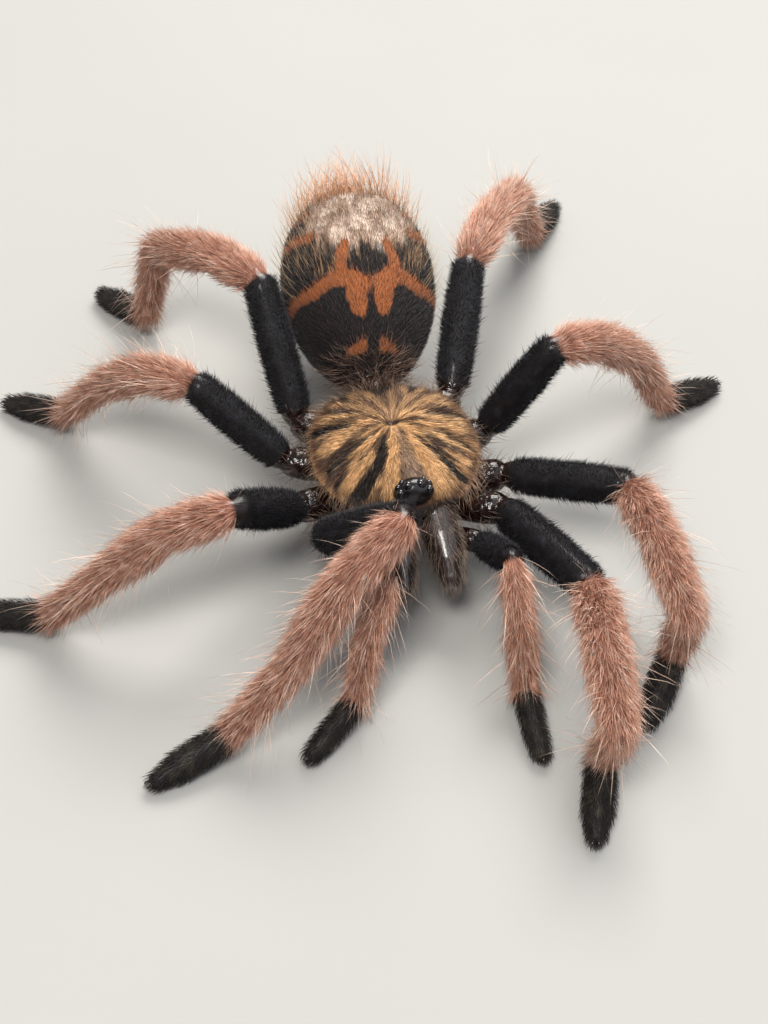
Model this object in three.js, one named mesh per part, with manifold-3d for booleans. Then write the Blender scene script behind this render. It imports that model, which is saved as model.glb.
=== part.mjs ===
// Juvenile greenbottle blue tarantula (Chromatopelma cyaneopubescens), a still life-size model.
// Millimetres, +Z up. The spider faces -Y, so its left side is +X. It stands on the floor at z = 0.
// Every piece of the body is a mesh of its own, and pieces that touch keep the gap JOINT_GAP.
import * as THREE from "three";
import { mergeVertices } from "three/addons/utils/BufferGeometryUtils.js";
import Module from "manifold-3d";

const wasm = await Module();
wasm.setup();

// ---------------------------------------------------------------- driving dimensions
const CARAPACE_LENGTH = 9.0; // sets the length of every leg
const JOINT_GAP = 0.3; // between pieces that touch
const HALF_GAP = JOINT_GAP / 2;
const PAD_SINK = 0.12; // how much of a foot's pad the floor trims to a flat
const ANKLE_Z = 1.15; // axis height where a foot begins
const TOE_Z = 0.5; // axis height at the tip of a foot
const LIMB_SIDES = 8;
const PATELLA_ARCH = 12; // the patella rises this much over the line of the leg, in degrees

// Lengths of each leg's segments, as shares of the carapace's length, and the leg's radius.
const LEG_SIZES = {
  palp: { femur: 0.56, patella: 0.32, tibia: 0.38, metatarsus: 0, tarsus: 0.36, radius: 0.72 },
  1: { femur: 0.8, patella: 0.42, tibia: 0.54, metatarsus: 0.48, tarsus: 0.41, radius: 1.0 },
  2: { femur: 0.73, patella: 0.39, tibia: 0.48, metatarsus: 0.45, tarsus: 0.4, radius: 0.96 },
  3: { femur: 0.66, patella: 0.36, tibia: 0.42, metatarsus: 0.48, tarsus: 0.38, radius: 0.94 },
  4: { femur: 0.8, patella: 0.39, tibia: 0.56, metatarsus: 0.64, tarsus: 0.4, radius: 0.96 },
};

// The coxa's inner end and the hip, where the femur begins, on the left side.
const HIPS = {
  palp: { root: [1.45, -3.6, 2.85], hip: [3.05, -4.95, 3.25], radius: 0.6 },
  1: { root: [2.15, -2.5, 3.45], hip: [4.45, -3.6, 3.9], radius: 0.84 },
  2: { root: [2.4, -0.75, 3.45], hip: [5.15, -1.45, 3.95], radius: 0.86 },
  3: { root: [2.4, 1.1, 3.45], hip: [5.05, 1.85, 3.95], radius: 0.86 },
  4: { root: [2.1, 2.85, 3.45], hip: [3.95, 4.5, 4.0], radius: 0.86 },
};

// The stance. A heading is in degrees from straight ahead, positive outwards on either side.
// A pitch is in degrees over the horizon. The metatarsus gets its pitch from the floor.
const STANCE = {
  left: {
    palp: { femur: [4, 36], tibia: [-2, -56], tarsus: -2 },
    1: { femur: [19, 9], tibia: [-9, 1], metatarsus: 180, tarsus: -20 },
    2: { femur: [52, 16], tibia: [3, -5], metatarsus: 184, tarsus: -35 },
    3: { femur: [88, 56], tibia: [112, -34], metatarsus: 112, tarsus: 110 },
    4: { femur: [158, 30], tibia: [147, -10], metatarsus: 144, tarsus: 142 },
  },
  right: {
    palp: { femur: [-10, 38], tibia: [40, -58], tarsus: 50 },
    1: { femur: [-36, 43], tibia: [60, -33], metatarsus: 78, tarsus: 70 },
    2: { femur: [44, 41], tibia: [97, -32], metatarsus: 116, tarsus: 112 },
    3: { femur: [122, 39], tibia: [137, -28], metatarsus: 134, tarsus: 128 },
    4: { femur: [171, 46], tibia: [148, -17], metatarsus: 147, tarsus: 145 },
  },
};

// Radii of each kind of segment along its length, as shares of the leg's radius.
const FEMUR_SHAPE = [[0, 0.82], [0.22, 0.96], [0.6, 1.0], [1, 0.88]];
const TIBIA_SHAPE = [[0, 0.86], [0.2, 1.08], [0.43, 1.02], [0.65, 1.1], [1, 0.9]];
const METATARSUS_SHAPE = [[0, 0.86], [0.5, 0.84], [1, 0.74]];
const TARSUS_SHAPE = [[0, 0.7], [0.3, 0.78], [0.7, 0.76], [1, 0.6]];
const PALP_TARSUS_SHAPE = [[0, 0.86], [0.4, 0.88], [0.75, 0.84], [1, 0.72]];

const CARAPACE = { halfWidth: 4.05, halfLength: 4.5, rimZ: 5.15, bottomZ: 4.95, rise: 1.35 };
const CARAPACE_FALL = 0.55; // below 1, the dome stays high and falls off near the rim
const CARAPACE_CORNERS = 0.06; // how much the outline bulges between its four ends
const CAPUT = { rise: 0.4, halfWidth: 2.0, rearY: -0.4 }; // the raised head region
const FOVEA = { y: 1.0, depth: 0.3, radius: 0.6 }; // the pit where the grooves meet
const CORE = { halfWidth: 1.75, halfLength: 3.5, bottomZ: 3.45, y: 0.15, overlap: 0.1 };
const TURRET = { halfWidth: 0.95, halfLength: 0.6, rise: 0.75, y: -3.72, z: 6.25 };
const STERNUM = { halfWidth: 1.9, halfLength: 2.5, y: 0.1, z: 2.75, halfHeight: 0.4 };
const CHELICERA = { length: 3.3, radius: 0.92, root: [1.1, -4.05, 4.7], pitch: -28, splay: 2 };
const FANG = { length: 2.3, radius: 0.32, pitch: -100, curve: 14 };
const PEDICEL = { radius: 0.65, z: 4.3, startY: 4.05 };
const ABDOMEN = {
  halfWidth: 4.05,
  halfLength: 5.85,
  halfHeight: 3.85,
  start: [0, 5.05], // x and y of its front end
  z: 6.25,
  tilt: 13, // degrees that the rear end is raised
  yaw: 6, // degrees that the rear end is turned to the left
  rearShift: 0.1, // how far the widest place lies behind the middle
};
const SPINNERET = {
  length: 2.4,
  radius: 0.4,
  apart: 0.62,
  back: 0.9, // shares of the abdomen's half length and half height
  down: 0.3,
  splay: 15,
  pitch: 12,
};

// Locks of the long coat. rise is how far a tip stands off the skin, and the shares say where on
// the piece the locks grow: from its start to its end along a leg, from front to rear on the abdomen.
const LOCK = { width: 0.95, thickness: 0.72, sink: 0.4, clear: 0.3, vary: 0.22, stray: 14 };
const COATS = {
  tibia: { count: 19, length: 2.4, rise: 0.6, from: 0.06, to: 0.95 },
  palpTibia: { count: 13, length: 1.9, rise: 0.45, from: 0.06, to: 0.9 },
  metatarsus: { count: 10, length: 1.9, rise: 0.45, from: 0.04, to: 0.84 },
  abdomen: { count: 76, length: 2.9, rise: 0.7, rearRise: 1.25, from: -0.4, to: 0.985 },
};
const GOLDEN_ANGLE = Math.PI * (3 - Math.sqrt(5)); // turns successive locks to even gaps

// ---------------------------------------------------------------- materials
const MATERIALS = {
  carapace: { color: 0x9c7434, roughness: 0.6 },
  abdomen: { color: 0x6b3a1c, roughness: 0.75 },
  femur: { color: 0x14141a, roughness: 0.5 },
  coat: { color: 0xb87352, roughness: 0.85 },
  foot: { color: 0x1b1a1c, roughness: 0.8 },
  coxa: { color: 0x2e1d1a, roughness: 0.45 },
  eye: { color: 0x0a0a0c, roughness: 0.1 },
  fang: { color: 0x120c0b, roughness: 0.2 },
};

const UP = new THREE.Vector3(0, 0, 1);
const FORWARD = new THREE.Vector3(0, -1, 0);

// ---------------------------------------------------------------- solids
/** A closed geometry as a solid that can be joined and cut. */
function solidOf(geometry) {
  const bare = geometry.clone();
  for (const name of ["normal", "uv"]) bare.deleteAttribute(name);
  const merged = mergeVertices(bare, 1e-4);
  const triVerts = new Uint32Array(merged.index.array);
  const vertProperties = merged.attributes.position.array;
  return new wasm.Manifold(new wasm.Mesh({ numProp: 3, vertProperties, triVerts }));
}

/** The largest closed surface of a solid, as a geometry. */
function geometryOf(solid) {
  const largest = solid.decompose().reduce((a, b) => (b.volume() > a.volume() ? b : a));
  const mesh = largest.getMesh();
  const geometry = new THREE.BufferGeometry();
  const positions = new Float32Array(mesh.vertProperties);
  geometry.setAttribute("position", new THREE.BufferAttribute(positions, mesh.numProp));
  geometry.setIndex(new THREE.BufferAttribute(new Uint32Array(mesh.triVerts), 1));
  geometry.computeVertexNormals();
  return geometry;
}

/** Moves each vertex of a geometry with move(vertex). */
function reshape(geometry, move) {
  const position = geometry.attributes.position;
  const vertex = new THREE.Vector3();
  for (let i = 0; i < position.count; i++) {
    move(vertex.fromBufferAttribute(position, i));
    position.setXYZ(i, vertex.x, vertex.y, vertex.z);
  }
  return geometry;
}

/** A solid that fills the space beyond a plane, on the side that its normal points to. */
function spaceBeyond(point, normal) {
  const SIZE = 60; // more than the whole animal
  const block = new THREE.BoxGeometry(SIZE, SIZE, SIZE).translate(0, 0, SIZE / 2);
  const turn = new THREE.Quaternion().setFromUnitVectors(UP, normal);
  return solidOf(block.applyQuaternion(turn).translate(point.x, point.y, point.z));
}

/** A solid and copies of it moved by the joint gap each way, to cut its neighbours clear of it. */
function grown(solid) {
  const STEPS = [-1, 0, 1];
  let whole = solid;
  for (const x of STEPS) {
    for (const y of STEPS) {
      for (const z of STEPS) {
        const shift = new THREE.Vector3(x, y, z).normalize().multiplyScalar(JOINT_GAP);
        whole = whole.add(solid.translate(shift.toArray()));
      }
    }
  }
  return whole;
}

const FLOOR = spaceBeyond(new THREE.Vector3(), UP.clone().negate());

// ---------------------------------------------------------------- locks of hair
/** A number from 0 to 1 in a fixed series, the same on each run. */
const random = (() => {
  let state = 20;
  return () => {
    state = (state * 16807) % 2147483647;
    return state / 2147483647;
  };
})();

/** A number that varies round 1. */
function varied() {
  return 1 + LOCK.vary * (2 * random() - 1);
}

/** A lock's place and size, varied a little as single locks are. */
function strayed(lock) {
  const angle = THREE.MathUtils.degToRad(LOCK.stray) * (2 * random() - 1);
  const lie = lock.lie.clone().applyAxisAngle(lock.outward, angle);
  return { ...lock, lie, length: lock.length * varied(), rise: lock.rise * varied() };
}

/**
 * One flat, tapered lock, rooted in the skin, that rises off it and bends over to its lie.
 * outward and lie are unit vectors: off the skin, and along it the way that the hair points.
 * bends is how many times the lock's faces bend on the way to its tip.
 */
function makeLock({ root, outward, lie, length, rise, bends }) {
  const along = (out, forward) =>
    root.clone().addScaledVector(outward, out).addScaledVector(lie, forward);
  const spine = new THREE.QuadraticBezierCurve3(
    along(-LOCK.sink, 0),
    along(rise, length * 0.3),
    along(rise, length),
  );
  const across = new THREE.Vector3().crossVectors(lie, outward).normalize();
  const cone = new THREE.ConeGeometry(1, 1, 3, bends + 1).translate(0, 0.5, 0);
  return solidOf(
    reshape(cone, (vertex) => {
      const share = THREE.MathUtils.clamp(vertex.y, 0, 1);
      const swell = 1 + share; // keeps its width a good way up, then narrows to the tip
      const spot = spine.getPoint(share);
      const normal = new THREE.Vector3().crossVectors(across, spine.getTangent(share));
      spot.addScaledVector(across, (vertex.x * swell * LOCK.width) / 2);
      spot.addScaledVector(normal, (vertex.z * swell * LOCK.thickness) / 2);
      vertex.copy(spot);
    }),
  );
}

/** The roots of the locks of a leg's segment, in a spiral along it. */
function limbRoots(points, shape, radius, coat) {
  return Array.from({ length: coat.count }, (_, i) => {
    const share = THREE.MathUtils.lerp(coat.from, coat.to, (i + random()) / coat.count);
    const angle = i * GOLDEN_ANGLE;
    const { spot, tangent, sideways, dorsal } = limbFrame(points, share);
    const outward = sideways.multiplyScalar(Math.cos(angle)).addScaledVector(dorsal, Math.sin(angle));
    const root = spot.addScaledVector(outward, radius * shapeAt(shape, share));
    return { root, outward, lie: tangent, length: coat.length, rise: coat.rise, bends: 1 };
  });
}

/** The roots of the abdomen's locks, spread evenly round it and longest at the rear. */
function abdomenRoots() {
  const coat = COATS.abdomen;
  const matrix = abdomenMatrix();
  return Array.from({ length: coat.count }, (_, i) => {
    const y = THREE.MathUtils.lerp(coat.from, coat.to, (i + 0.5) / coat.count);
    const round = Math.sqrt(1 - y * y);
    const angle = i * GOLDEN_ANGLE;
    const vertex = new THREE.Vector3(round * Math.cos(angle), y, round * Math.sin(angle));
    const outward = new THREE.Vector3(
      vertex.x / ABDOMEN.halfWidth,
      y / ABDOMEN.halfLength,
      vertex.z / ABDOMEN.halfHeight,
    ).normalize();
    const lie = new THREE.Vector3(0, 1, 0).addScaledVector(outward, -outward.y).normalize();
    const rise = THREE.MathUtils.lerp(coat.rise, coat.rearRise, THREE.MathUtils.smoothstep(y, 0.2, 0.9));
    return {
      root: eggPoint(vertex).applyMatrix4(matrix),
      outward: outward.transformDirection(matrix),
      lie: lie.transformDirection(matrix),
      length: coat.length,
      rise,
      bends: 2,
    };
  });
}

/** Fuses a piece with the locks that stay clear of the floor and of the other pieces. */
function withLocks(piece, roots, others) {
  const clear = LOCK.clear;
  const reach = COATS.abdomen.length;
  const near = others.filter((other) => piece.minGap(other, 2 * reach) < reach);
  const locks = roots
    .map((root) => makeLock(strayed(root)))
    .filter((lock) => lock.boundingBox().min[2] > clear)
    .filter((lock) => near.every((other) => lock.minGap(other, 2 * clear) >= clear));
  return locks.reduce((whole, lock) => whole.add(lock), piece);
}

// ---------------------------------------------------------------- limbs
/** A unit vector from a heading and a pitch in degrees; side is 1 for left and -1 for right. */
function direction(side, heading, pitch) {
  const h = THREE.MathUtils.degToRad(heading);
  const p = THREE.MathUtils.degToRad(pitch);
  return new THREE.Vector3(side * Math.sin(h) * Math.cos(p), -Math.cos(h) * Math.cos(p), Math.sin(p));
}

/** The unit vector from one point to another. */
function toward(from, to) {
  return new THREE.Vector3().subVectors(to, from).normalize();
}

/** The pitch in degrees that takes a piece of this length from one height down to another. */
function pitchDown(length, fromZ, toZ) {
  return -THREE.MathUtils.radToDeg(Math.asin((fromZ - toZ) / length));
}

/**
 * A round limb along a line of two or three points, with ball ends.
 * shape lists [share of the length, share of the radius] from the first point to the last, and
 * up is any direction that the limb doesn't run along.
 */
function limb(points, shape, radius, up = UP) {
  const length = pathThrough(points).getLength();
  const first = shape[0][1] * radius;
  const last = shape[shape.length - 1][1] * radius;
  const diagonal = Math.SQRT1_2;
  const profile = [
    new THREE.Vector2(0, -first),
    new THREE.Vector2(first * diagonal, -first * diagonal),
    ...shape.map(([share, size]) => new THREE.Vector2(size * radius, share * length)),
    new THREE.Vector2(last * diagonal, length + last * diagonal),
    new THREE.Vector2(0, length + last),
  ];
  return reshape(new THREE.LatheGeometry(profile, LIMB_SIDES), (vertex) => {
    const along = THREE.MathUtils.clamp(vertex.y, 0, length);
    const { spot, tangent, sideways, dorsal } = limbFrame(points, along / length, up);
    spot.addScaledVector(tangent, vertex.y - along);
    spot.addScaledVector(sideways, vertex.x);
    spot.addScaledVector(dorsal, vertex.z);
    vertex.copy(spot);
  });
}

/** A line through two or three points. */
function pathThrough(points) {
  const path = new THREE.CurvePath();
  for (let i = 1; i < points.length; i++) path.add(new THREE.LineCurve3(points[i - 1], points[i]));
  return path;
}

/** The place on a limb's axis at a share of its length, and the directions there. */
function limbFrame(points, share, up = UP) {
  const path = pathThrough(points);
  const tangent = smoothTangent(points, share * path.getLength());
  const sideways = new THREE.Vector3().crossVectors(tangent, up).normalize();
  const dorsal = new THREE.Vector3().crossVectors(sideways, tangent);
  return { spot: path.getPoint(share), tangent, sideways, dorsal };
}

/** The share of the radius that a shape list gives at a share of the length. */
function shapeAt(shape, share) {
  const i = Math.max(1, shape.findIndex(([at]) => at >= share));
  const [[from, before], [to, after]] = [shape[i - 1], shape[i]];
  return THREE.MathUtils.mapLinear(share, from, to, before, after);
}

/** The direction of a line of points at a distance along it, turning evenly near each bend. */
function smoothTangent(points, along) {
  const TURN = 0.9; // mm to each side of a bend
  const tangent = new THREE.Vector3();
  let start = 0;
  for (let i = 1; i < points.length; i++) {
    const step = new THREE.Vector3().subVectors(points[i], points[i - 1]);
    const end = start + step.length();
    const enter = i === 1 ? 1 : THREE.MathUtils.smoothstep(along, start - TURN, start + TURN);
    const isLast = i === points.length - 1;
    const leave = isLast ? 0 : THREE.MathUtils.smoothstep(along, end - TURN, end + TURN);
    tangent.addScaledVector(step.normalize(), Math.max(0, enter - leave));
    start = end;
  }
  return tangent.normalize();
}

/** Cuts what lies past a joint. The cut halves the joint's angle and leaves half of the gap. */
function cutAfter(solid, joint, wayIn, wayOut) {
  const normal = new THREE.Vector3().addVectors(wayIn, wayOut).normalize();
  return solid.subtract(spaceBeyond(joint.clone().addScaledVector(normal, -HALF_GAP), normal));
}

/** Cuts what lies before a joint, as cutAfter does. */
function cutBefore(solid, joint, wayIn, wayOut) {
  return cutAfter(solid, joint, wayOut.clone().negate(), wayIn.clone().negate());
}

/** The joints of a leg or palp, from the coxa's root to the toe. */
function legJoints(sideName, name) {
  const side = sideName === "left" ? 1 : -1;
  const sizes = LEG_SIZES[name];
  const stance = STANCE[sideName][name];
  const mirrored = ([x, y, z]) => new THREE.Vector3(side * x, y, z);
  const step = (from, share, heading, pitch) =>
    from.clone().addScaledVector(direction(side, heading, pitch), share * CARAPACE_LENGTH);
  const root = mirrored(HIPS[name].root);
  const hip = mirrored(HIPS[name].hip);
  const knee = step(hip, sizes.femur, ...stance.femur);
  const [heading, pitch] = stance.tibia;
  const sag = (PATELLA_ARCH * sizes.patella) / sizes.tibia;
  const bend = step(knee, sizes.patella, heading, pitch + PATELLA_ARCH);
  const ankle = step(bend, sizes.tibia, heading, pitch - sag);
  let heel = ankle;
  if (sizes.metatarsus > 0) {
    const fall = pitchDown(sizes.metatarsus * CARAPACE_LENGTH, ankle.z, ANKLE_Z);
    heel = step(ankle, sizes.metatarsus, stance.metatarsus, fall);
  }
  const fall = pitchDown(sizes.tarsus * CARAPACE_LENGTH, heel.z, TOE_Z);
  const toe = step(heel, sizes.tarsus, stance.tarsus, fall);
  return { root, hip, knee, bend, ankle, heel, toe };
}

/** The solids of one leg or palp and the roots of its locks, by the names of its segments. */
function makeLeg(sideName, name) {
  const { root, hip, knee, bend, ankle, heel, toe } = legJoints(sideName, name);
  const radius = LEG_SIZES[name].radius;
  const isPalp = name === "palp";
  const ways = {
    coxa: toward(root, hip),
    femur: toward(hip, knee),
    patella: toward(knee, bend),
    tibia: toward(bend, ankle),
    metatarsus: isPalp ? toward(heel, toe) : toward(ankle, heel),
    tarsus: toward(heel, toe),
  };
  const coxaShape = [[0, 0.76], [0.6, 1], [1, (FEMUR_SHAPE[0][1] * radius) / HIPS[name].radius]];
  const coxa = solidOf(limb([root, hip], coxaShape, HIPS[name].radius));
  const femur = solidOf(limb([hip, knee], FEMUR_SHAPE, radius));
  const tibia = solidOf(limb([knee, bend, ankle], TIBIA_SHAPE, radius));
  const femurFromHip = cutBefore(femur, hip, ways.coxa, ways.femur);
  const tibiaFromKnee = cutBefore(tibia, knee, ways.femur, ways.patella);
  const solids = {
    coxa: cutAfter(coxa, hip, ways.coxa, ways.femur),
    femur: cutAfter(femurFromHip, knee, ways.femur, ways.patella),
    tibia: cutAfter(tibiaFromKnee, ankle, ways.tibia, ways.metatarsus).subtract(FLOOR),
  };
  if (!isPalp) {
    const whole = solidOf(limb([ankle, heel], METATARSUS_SHAPE, radius));
    const fromAnkle = cutBefore(whole, ankle, ways.tibia, ways.metatarsus);
    const trimmed = cutAfter(fromAnkle, heel, ways.metatarsus, ways.tarsus);
    solids.metatarsus = trimmed.subtract(FLOOR);
  }
  const wayIn = isPalp ? ways.tibia : ways.metatarsus;
  const shape = isPalp ? PALP_TARSUS_SHAPE : TARSUS_SHAPE;
  const scale = (TOE_Z + PAD_SINK) / (shape[shape.length - 1][1] * radius);
  const footShape = [...shape.slice(0, -1), [1, shape[shape.length - 1][1] * scale]];
  const foot = solidOf(limb([heel, toe], footShape, radius));
  solids.tarsus = cutBefore(foot, heel, wayIn, ways.tarsus).subtract(FLOOR);
  const tibiaCoat = isPalp ? COATS.palpTibia : COATS.tibia;
  const roots = { tibia: limbRoots([knee, bend, ankle], TIBIA_SHAPE, radius, tibiaCoat) };
  if (!isPalp) {
    roots.metatarsus = limbRoots([ankle, heel], METATARSUS_SHAPE, radius, COATS.metatarsus);
  }
  return { solids, roots };
}

// ---------------------------------------------------------------- body
/** Height of the carapace's top over its rim at a place, for share = 1 at the middle, 0 at the rim. */
function carapaceRise(x, y, share) {
  const dome = CARAPACE.rise * Math.pow(share, CARAPACE_FALL);
  const inside = THREE.MathUtils.smoothstep(CAPUT.halfWidth - Math.abs(x), -0.5, 1.1);
  const ahead = THREE.MathUtils.smoothstep(CAPUT.rearY - y, -1.4, 1.6);
  const rimFade = THREE.MathUtils.smoothstep(share, 0, 0.35);
  const pit = Math.exp(-(x * x + (y - FOVEA.y) ** 2) / FOVEA.radius ** 2);
  return dome + CAPUT.rise * inside * ahead * rimFade - FOVEA.depth * pit;
}

/** Half the width of the carapace at a distance y from its middle, as a share of its widest. */
function carapaceNarrowing(y) {
  const HEAD_SHARE = 0.16; // how much narrower the head end is
  return 1 - HEAD_SHARE * THREE.MathUtils.smoothstep(-y, 0.5, CARAPACE.halfLength);
}

/** The carapace with the core of the body under it, between the coxae. */
function makeCarapace() {
  const shell = new THREE.SphereGeometry(1, 24, 16).rotateX(Math.PI / 2);
  reshape(shell, (vertex) => {
    const flat = Math.hypot(vertex.x, vertex.y);
    const angle = Math.atan2(vertex.y, vertex.x);
    const spread = Math.sin((flat * Math.PI) / 2) ** 0.9 * (flat > 0 ? 1 : 0);
    const squareness = 1 + CARAPACE_CORNERS * Math.sin(2 * angle) ** 2;
    const y = CARAPACE.halfLength * spread * Math.sin(angle) * squareness;
    const x = CARAPACE.halfWidth * spread * Math.cos(angle) * squareness * carapaceNarrowing(y);
    const top = vertex.z >= 0;
    const share = 1 - spread * spread;
    const z = top ? CARAPACE.rimZ + carapaceRise(x, y, share) : CARAPACE.bottomZ;
    vertex.set(x, y, flat > 0.999 ? CARAPACE.rimZ : z);
  });
  const height = CARAPACE.bottomZ - CORE.bottomZ;
  const core = new THREE.SphereGeometry(1, 12, 8).scale(CORE.halfWidth, CORE.halfLength, height);
  core.translate(0, CORE.y, CARAPACE.bottomZ + CORE.overlap);
  return solidOf(shell).add(solidOf(core));
}

/** The low mound with the eyes: two round ones in front on top and three smaller ones a side. */
function makeTurret(grownCarapace) {
  const EYES = [
    { x: 0.3, y: -0.12, z: 0.62, radius: 0.22 },
    { x: 0.72, y: -0.3, z: 0.36, radius: 0.19 },
    { x: 0.76, y: 0.06, z: 0.4, radius: 0.16 },
    { x: 0.54, y: 0.26, z: 0.5, radius: 0.14 },
  ];
  const mound = new THREE.SphereGeometry(1, 12, 6);
  mound.scale(TURRET.halfWidth, TURRET.halfLength, TURRET.rise);
  let solid = solidOf(mound.translate(0, TURRET.y, TURRET.z));
  for (const { x, y, z, radius } of EYES) {
    for (const side of [1, -1]) {
      const eye = new THREE.SphereGeometry(radius, 6, 4);
      solid = solid.add(solidOf(eye.translate(side * x, TURRET.y + y, TURRET.z + z)));
    }
  }
  return solid.subtract(grownCarapace);
}

/** The plate between the coxae on the underside. */
function makeSternum() {
  const plate = new THREE.SphereGeometry(1, 16, 8);
  plate.scale(STERNUM.halfWidth, STERNUM.halfLength, STERNUM.halfHeight);
  return solidOf(plate.translate(0, STERNUM.y, STERNUM.z));
}

/** The thick basal part of a jaw and the fang folded under it. */
function makeJaw(side, grownCarapace) {
  const [x, y, z] = CHELICERA.root;
  const root = new THREE.Vector3(side * x, y, z);
  const way = direction(side, CHELICERA.splay, CHELICERA.pitch);
  const tip = root.clone().addScaledVector(way, CHELICERA.length);
  const shape = [[0, 0.92], [0.35, 1], [0.75, 0.9], [1, 0.62]];
  const base = solidOf(limb([root, tip], shape, CHELICERA.radius)).subtract(grownCarapace);
  const fangStart = tip.clone().addScaledVector(way, -FANG.radius);
  const fangWay = direction(side, 0, FANG.pitch);
  const half = (from, turn) =>
    from.clone().addScaledVector(direction(side, 0, FANG.pitch + turn), FANG.length / 2);
  const middle = half(fangStart, FANG.curve);
  const fangLine = [fangStart, middle, half(middle, -FANG.curve)];
  const fangShape = [[0, 1], [0.5, 0.8], [1, 0.3]];
  const fang = solidOf(limb(fangLine, fangShape, FANG.radius, FORWARD));
  const socket = fangStart.clone().addScaledVector(fangWay, CHELICERA.radius * 0.62);
  return {
    chelicera: cutAfter(base, socket, fangWay, fangWay),
    fang: cutBefore(fang, socket, fangWay, fangWay),
  };
}

/** The matrix from the abdomen's own frame, +Y back along its axis, to the model's. */
function abdomenMatrix() {
  const yaw = THREE.MathUtils.degToRad(ABDOMEN.yaw);
  const tilt = THREE.MathUtils.degToRad(ABDOMEN.tilt);
  const [x, y] = ABDOMEN.start;
  const level = Math.cos(tilt) * ABDOMEN.halfLength;
  const turn = new THREE.Matrix4().makeRotationFromEuler(new THREE.Euler(tilt, 0, -yaw, "ZYX"));
  return turn.setPosition(x + Math.sin(yaw) * level, y + Math.cos(yaw) * level, ABDOMEN.z);
}

/** Takes a point of the unit sphere to the abdomen's egg, which is widest behind its middle. */
function eggPoint(point) {
  const shift = ABDOMEN.rearShift * (1 - point.y * point.y);
  point.x *= ABDOMEN.halfWidth;
  point.z *= ABDOMEN.halfHeight;
  point.y = ABDOMEN.halfLength * (point.y + shift);
  return point;
}

/** The abdomen without its locks. */
function makeAbdomen() {
  const egg = new THREE.SphereGeometry(1, 22, 14).rotateX(Math.PI / 2);
  reshape(egg, eggPoint);
  return solidOf(egg.applyMatrix4(abdomenMatrix()));
}

/** The stalk between the carapace and the abdomen. */
function makePedicel(grownCarapace, grownAbdomen) {
  const start = new THREE.Vector3(0, PEDICEL.startY, PEDICEL.z);
  const end = new THREE.Vector3(0, -ABDOMEN.halfLength, 0).applyMatrix4(abdomenMatrix());
  end.y += PEDICEL.radius;
  const stalk = solidOf(limb([start, end], [[0, 1], [0.5, 0.9], [1, 1]], PEDICEL.radius));
  return stalk.subtract(grownCarapace).subtract(grownAbdomen);
}

/** One of the two long spinnerets at the rear end, in three joints. */
function makeSpinneret(side, grownAbdomen) {
  const back = SPINNERET.back * ABDOMEN.halfLength;
  const down = SPINNERET.down * ABDOMEN.halfHeight;
  const start = new THREE.Vector3(side * SPINNERET.apart, back, -down);
  start.applyMatrix4(abdomenMatrix());
  const way = direction(side, 180 - SPINNERET.splay, SPINNERET.pitch);
  const end = start.clone().addScaledVector(way, SPINNERET.length);
  const shape = [[0, 1], [0.3, 1], [0.36, 0.86], [0.62, 0.86], [0.68, 0.7], [1, 0.4]];
  return solidOf(limb([start, end], shape, SPINNERET.radius)).subtract(grownAbdomen);
}

// ---------------------------------------------------------------- the model
const SEGMENT_MATERIALS = {
  coxa: "coxa",
  femur: "femur",
  tibia: "coat",
  metatarsus: "coat",
  tarsus: "foot",
};
const pieces = new Map(); // name to the solid, its material's name and the roots of its locks

/** Notes a piece of the model. */
function addPiece(name, solid, material, roots = []) {
  pieces.set(name, { solid, material, roots });
}

const carapace = makeCarapace();
const abdomen = makeAbdomen();
const grownCarapace = grown(carapace);
const grownAbdomen = grown(abdomen);
addPiece("carapace", carapace, "carapace");
addPiece("eye_turret", makeTurret(grownCarapace), "eye");
addPiece("sternum", makeSternum(), "coxa");
addPiece("pedicel", makePedicel(grownCarapace, grownAbdomen), "coxa");
addPiece("abdomen", abdomen, "abdomen", abdomenRoots());

for (const [sideName, side] of [["left", 1], ["right", -1]]) {
  const jaw = makeJaw(side, grownCarapace);
  addPiece(`chelicera_${sideName}`, jaw.chelicera, "coxa");
  addPiece(`fang_${sideName}`, jaw.fang, "fang");
  addPiece(`spinneret_${sideName}`, makeSpinneret(side, grownAbdomen), "coxa");
  for (const name of Object.keys(LEG_SIZES)) {
    const limbName = name === "palp" ? `palp_${sideName}` : `leg${name}_${sideName}`;
    const { solids, roots } = makeLeg(sideName, name);
    for (const [segment, solid] of Object.entries(solids)) {
      addPiece(`${limbName}_${segment}`, solid, SEGMENT_MATERIALS[segment], roots[segment]);
    }
  }
}

for (const [name, piece] of pieces) {
  const others = [...pieces].filter(([other]) => other !== name).map(([, { solid }]) => solid);
  if (piece.roots.length > 0) piece.solid = withLocks(piece.solid, piece.roots, others);
}

const group = new THREE.Group();
for (const [name, { solid, material }] of pieces) {
  const finish = new THREE.MeshStandardMaterial({ ...MATERIALS[material], metalness: 0 });
  const mesh = new THREE.Mesh(geometryOf(solid), finish);
  mesh.name = name;
  group.add(mesh);
}

// The origin is on the floor, under the middle of the whole animal's outline.
const bounds = new THREE.Box3().setFromObject(group);
const centre = bounds.getCenter(new THREE.Vector3());
group.position.set(-centre.x, -centre.y, 0);

export default group;
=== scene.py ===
"""The looks of a young green bottle blue tarantula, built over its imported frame.

One skin stands for every fleshy solid, and coats of solid setae grow on it. Sizes are in
millimetres and angles in degrees, in the animal's own coordinates: +Z is up and it faces -Y,
so that its left side is +X. Meshes are made in metres, in the frame's coordinates.
"""

import sys

import logging
import math
from dataclasses import dataclass
from enum import Enum
from typing import Callable, Iterator

import bpy
import numpy as np
from mathutils import Matrix, Vector


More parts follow.
